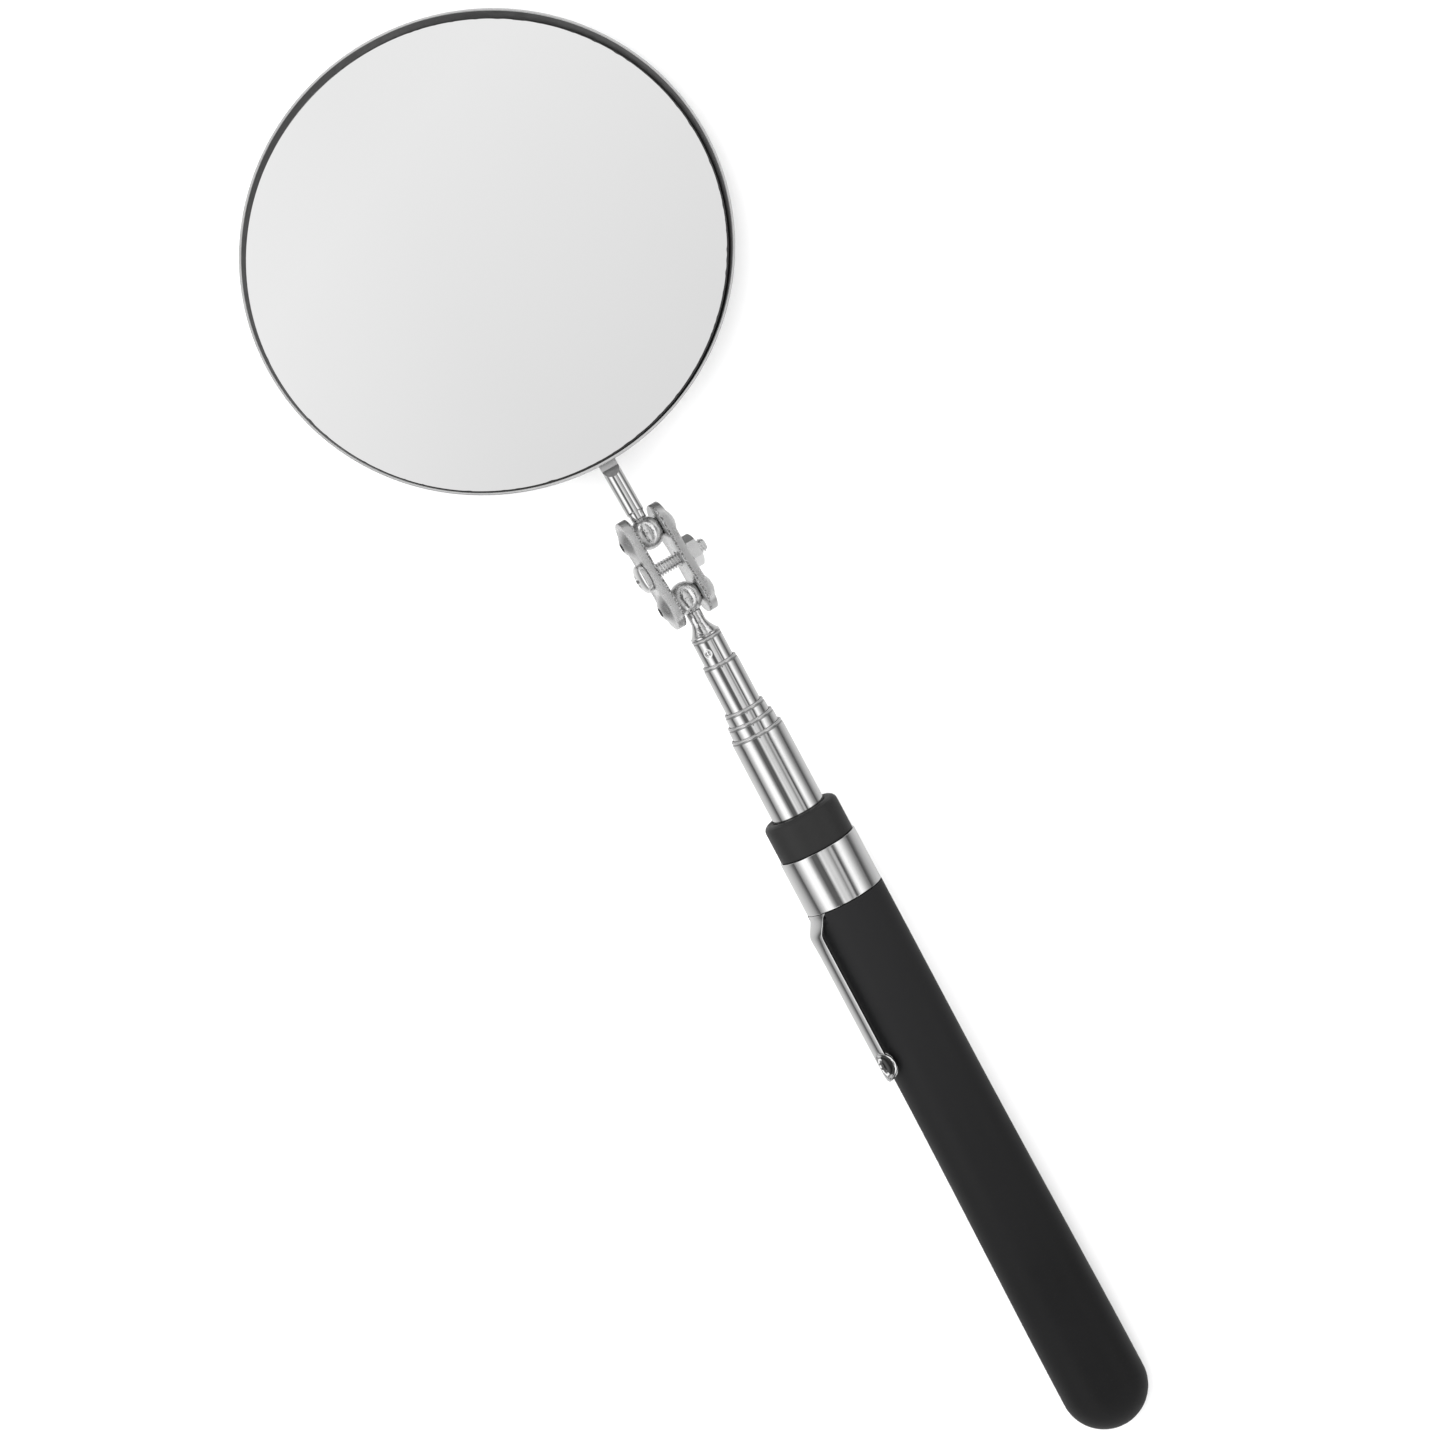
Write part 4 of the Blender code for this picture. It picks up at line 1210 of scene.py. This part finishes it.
class MIRROR_OT_stem(bpy.types.Operator):
    """Builds the mirror's rod, milled flat where it runs under the cup."""

    bl_idname = "mirror.stem"
    bl_label = "Stem"

    def execute(self, context):
        corners = local("mirror_stem", STEM)
        low, high = span("mirror_stem", STEM)
        neck = spread("mirror_stem", STEM, low, low + 0.5 * MM)[1]
        wide = spread("mirror_stem", STEM)[1]
        flat = max(c.z for c in corners if c.y > high - 1 * MM)
        foot = max(c.y for c in corners if c.z > wide * 0.96)
        profile = [(0.0, low), (neck, low), (neck, low + neck), (wide, low + neck + (wide - neck))]
        profile += [(wide, high), (0.0, high)]
        rod = lathe(divided(rounded(profile, 0.3 * MM, steps=6), 2.0 * MM), 96)
        slope, start, beyond = (wide - flat) * 1.35, foot - 0.4 * MM, 2 * wide - flat
        cut = [(start + slope, flat), (start - slope, beyond), (high + wide, beyond), (high + wide, flat)]
        made = carved("stem", rod, [("DIFFERENCE", slab(cut, -2 * wide, 2 * wide))])
        for face in made.data.polygons:
            milled = face.normal.z > 0.6 and face.center.y > foot - 0.3 * MM and face.area > 0.5 * MM * MM
            face.material_index = int(milled)
        settle(made, STEM, "mirror", "mirror_stem", "stem milled")
        return {"FINISHED"}


class MIRROR_OT_cup(bpy.types.Operator):
    """Builds the pressed cup, bright outside and with painted shade on its inner wall, and the glass in it."""

    bl_idname = "mirror.cup"
    bl_label = "Cup and Glass"

    def execute(self, context):
        settings = context.scene.mirror_head
        profile, closed = profile_of("mirror_cup", CUP)
        _, outside, _, rim = limits(profile)
        inner = min(radius for radius, along in profile if along > rim - 0.01 * MM)
        sheet = outside - inner

        def narrowed(along):
            return settings.cup_taper * (rim - along) / rim

        # Faces on the cup's inner wall take the near-black coat, a painted shade.
        def finish(one, two):
            radius, along = (one[0] + two[0]) / 2, (one[1] + two[1]) / 2
            inside = radius < inner - narrowed(along) + 0.06 * MM
            return int(inside and sheet * 0.7 <= along < rim - 0.08 * MM)

        profile = [(radius - narrowed(along) * (radius > inner * 0.9), along) for radius, along in profile]
        soft = divided(rounded(profile, settings.cup_edge, closed, steps=4), 2.5 * MM)
        cup = mesh_object("pressed_cup", lathe(soft, settings.cup_sides, closed, material_at=finish))
        settle(cup, CUP, "mirror", "mirror_cup", "cup cup_inside")

        outline, closed = profile_of("mirror_glass", GLASS)
        outline = [(radius + settings.glass_play if radius else 0.0, along) for radius, along in outline]
        _, wide, _, top = limits(outline)

        def side(one, two):
            along = (one[1] + two[1]) / 2
            if along > top - 0.003 * MM:
                return 0
            return 2 if along > top - 0.3 * MM else 1

        def chipped(radius, along, angle):
            near = max(0.0, 1 - (top - along) / (0.5 * MM)) * (radius > wide * 0.98)
            spot = Vector((math.cos(angle), math.sin(angle), along * 300.0)) * 34.0
            bite = max(0.0, noise.noise(spot) - 0.12) * 2.2 * settings.chip_depth
            return radius - bite * near, along

        glass = mesh_object("glass", lathe(outline, 720, closed, chipped, side))
        coats = "silver glass_edge bevel"
        settle(glass, GLASS, "mirror", "mirror_glass", coats, smooth=math.radians(20))
        return {"FINISHED"}


class MIRROR_OT_inner(bpy.types.Operator):
    """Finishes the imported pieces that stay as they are: barrel, plug, friction sleeves and pad."""

    bl_idname = "mirror.inner"
    bl_label = "Inner Pieces"

    def execute(self, context):
        coats = {"barrel": "barrel", "end_plug": "plastic", "backing_pad": "foam"}
        coats.update({f"friction_sleeve_{number}": "brass" for number in range(1, 6)})
        for node, coat in coats.items():
            materials = frame["nodes"][node].data.materials
            materials.clear()
            materials.append(finishes()[coat])
        return {"FINISHED"}


# ---------------------------------------------------------------- stage


# The light all round, as (degrees from overhead, level).
PANELS = (
    (-90, 0.197), (-84, 0.335), (-74, 0.557), (-67, 0.824), (-60, 0.952), (-53, 0.938), (-46, 0.782),
    (-41, 0.451), (-36, 0.251), (-30, 0.088), (-23, 0.093), (-15.5, 0.082), (-11.5, 0.284), (-7, 0.685),
    (0, 0.551), (7, 0.574), (12, 0.465), (17, 0.319), (20, 0.206), (23.5, 0.381), (29, 0.439),
    (33.5, 0.071), (37, 0.087), (42, 0.363), (47, 0.736), (53, 0.893), (60, 0.743), (67, 0.541),
    (74, 0.369), (82, 0.222), (90, 0.126),
)

# How bright the floor is to shiny pieces, as (metres aside, level).
REFLECTED_FLOOR = (
    (0.0, 0.52), (0.015, 0.5), (0.025, 0.46), (0.04, 0.37),
    (0.068, 0.25), (0.1, 0.16), (0.15, 0.1), (0.25, 0.06),
)


CAMERA_TARGET = (-0.0023, 0.00384, 0.012)
LAMP = (-0.25, 0.2, 1.4)


def ramp_of(tree, factor, stops):
    """A grey that follows a row of (place, level) stops."""
    ramp = add(tree, "ShaderNodeValToRGB", {0: factor})
    elements = ramp.color_ramp.elements
    for number, (at, level) in enumerate(stops):
        stop = elements[0] if number == 0 else elements[-1] if number == len(stops) - 1 else elements.new(at)
        stop.position = at
        stop.color = (level, level, level, 1.0)
    return ramp.outputs[0]


class MIRROR_OT_stage(bpy.types.Operator):
    """Builds the floor, the studio light and the camera."""

    bl_idname = "mirror.stage"
    bl_label = "Stage"

    def execute(self, context):
        settings = context.scene.mirror_stage
        self.floor(settings)
        self.panels(context, settings)
        self.lamp(settings)
        self.camera(context, settings)
        context.scene.view_settings.view_transform = "Standard"
        context.scene.view_settings.look = "None"
        return {"FINISHED"}

    def floor(self, settings):
        """A broad pale floor; shiny pieces see a painted reflection of it, darker far to either side."""
        bm = bmesh.new()
        bmesh.ops.create_grid(bm, x_segments=8, y_segments=8, size=6.0)
        floor = mesh_object("floor", moved(bm, (0.0, 0.0, -0.01 * MM)))
        material, tree, shader = new_material("pale_floor", Roughness=0.9, Specular_IOR_Level=0.1)
        pale = mixed(tree, cloud(tree, 40.0, 3.0), shade(settings.floor, 1.0), shade(settings.floor, 0.985))
        aside = add(tree, "ShaderNodeSeparateXYZ", {0: place_on(tree)}).outputs["X"]
        away = add(tree, "ShaderNodeMath", {0: aside}, operation="ABSOLUTE").outputs[0]
        widest = REFLECTED_FLOOR[-1][0]
        levels = [(at / widest, level) for at, level in REFLECTED_FLOOR]
        fall = ramp_of(tree, mask_of(tree, away, 0.0, widest), levels)
        # Glossy rays see the floor at painted reflection levels instead of its colour.
        glossy = add(tree, "ShaderNodeLightPath").outputs["Is Glossy Ray"]
        tree.links.new(mixed(tree, glossy, pale, fall), shader.inputs["Base Color"])
        self.clear_from_below(tree)
        floor.data.materials.append(material)

    def clear_from_below(self, tree):
        """Lets the floor be seen through from its underside, so that a piece below it isn't hidden."""
        output = next(node for node in tree.nodes if node.type == "OUTPUT_MATERIAL")
        surface = output.inputs["Surface"].links[0].from_socket
        under = add(tree, "ShaderNodeNewGeometry").outputs["Backfacing"]
        clear = add(tree, "ShaderNodeBsdfTransparent").outputs[0]
        either = add(tree, "ShaderNodeMixShader", {0: under, 1: surface, 2: clear})
        tree.links.new(either.outputs[0], output.inputs["Surface"])

    def panels(self, context, settings):
        """Light panels all round, as long strips above the object, with dark gaps between them."""
        world = bpy.data.worlds.new("studio")
        context.scene.world = world
        world.use_nodes = True
        tree = world.node_tree
        background = tree.nodes["Background"]
        place = add(tree, "ShaderNodeTexCoord").outputs["Generated"]
        parts = add(tree, "ShaderNodeSeparateXYZ", {0: place}).outputs
        share = mask_of(tree, counted(tree, "ARCTAN2", parts["X"], parts["Z"]), -math.pi / 2, math.pi / 2)
        panels = ramp_of(tree, share, [((degrees + 90) / 180, level) for degrees, level in PANELS])
        above = self.gaze(settings) @ UP
        facing = add(tree, "ShaderNodeVectorMath", {0: place, 1: above}, operation="DOT_PRODUCT")
        spot = mask_of(tree, facing.outputs["Value"], *(math.cos(math.radians(turn)) for turn in (6.0, 4.0)))
        dark = mixed(tree, spot, panels, shade(grey(0.015), 1.0))
        seen = add(tree, "ShaderNodeLightPath").outputs["Is Camera Ray"]
        tree.links.new(mixed(tree, seen, dark, shade(grey(0.62), 1.0)), background.inputs["Color"])
        background.inputs["Strength"].default_value = settings.sky

    def lamp(self, settings):
        """A broad soft lamp overhead that lights the floor and isn't seen in reflections."""
        data = bpy.data.lights.new("overhead", "AREA")
        data.shape, data.size, data.energy = "DISK", 1.6, settings.key
        lamp = bpy.data.objects.new("overhead", data)
        lamp.location = LAMP
        lamp.rotation_euler = (-Vector(LAMP)).to_track_quat("-Z", "Y").to_euler()
        lamp.visible_glossy = False
        bpy.context.scene.collection.objects.link(lamp)

    def gaze(self, settings):
        """The camera's turn from looking straight down."""
        turns = ((settings.tilt, "X"), (settings.lean, "Y"), (settings.turn, "Z"))
        first, second, third = (Matrix.Rotation(angle, 3, axis) for angle, axis in turns)
        return first @ second @ third

    def camera(self, context, settings):
        """A long lens almost straight above, turned so that the object lies corner to corner."""
        data = bpy.data.cameras.new("camera")
        data.sensor_width = 36.0
        data.lens = settings.scale * settings.distance * data.sensor_width
        data.clip_end = 100.0
        camera = bpy.data.objects.new("camera", data)
        turn = self.gaze(settings).to_4x4()
        target = Vector(CAMERA_TARGET)
        camera.matrix_world = Matrix.Translation(target + turn @ Vector((0.0, 0.0, settings.distance))) @ turn
        context.scene.collection.objects.link(camera)
        context.scene.camera = camera


OPERATORS = (
    MIRROR_OT_grip,
    MIRROR_OT_sleeve,
    MIRROR_OT_clip,
    MIRROR_OT_collar,
    MIRROR_OT_tubes,
    MIRROR_OT_balls,
    MIRROR_OT_plates,
    MIRROR_OT_fasteners,
    MIRROR_OT_stem,
    MIRROR_OT_cup,
    MIRROR_OT_inner,
    MIRROR_OT_stage,
)


class MIRROR_PT_pieces(bpy.types.Panel):
    """Lists the pieces that can be built."""

    bl_idname = "MIRROR_PT_pieces"
    bl_label = "Telescoping Mirror"
    bl_space_type = "VIEW_3D"
    bl_region_type = "UI"
    bl_category = "Mirror"

    def draw(self, context):
        for operator in OPERATORS:
            self.layout.operator(operator.bl_idname)


CLASSES = (*SETTINGS.values(), *OPERATORS, MIRROR_PT_pieces)


def register():
    for item in CLASSES:
        bpy.utils.register_class(item)
    for name, group in SETTINGS.items():
        setattr(bpy.types.Scene, name, PointerProperty(type=group))


def unregister():
    for name in SETTINGS:
        delattr(bpy.types.Scene, name)
    for item in reversed(CLASSES):
        bpy.utils.unregister_class(item)


def main():
    register()
    for operator in OPERATORS:
        group, name = operator.bl_idname.split(".")
        getattr(getattr(bpy.ops, group), name)()


if __name__ == "__main__":
    main()
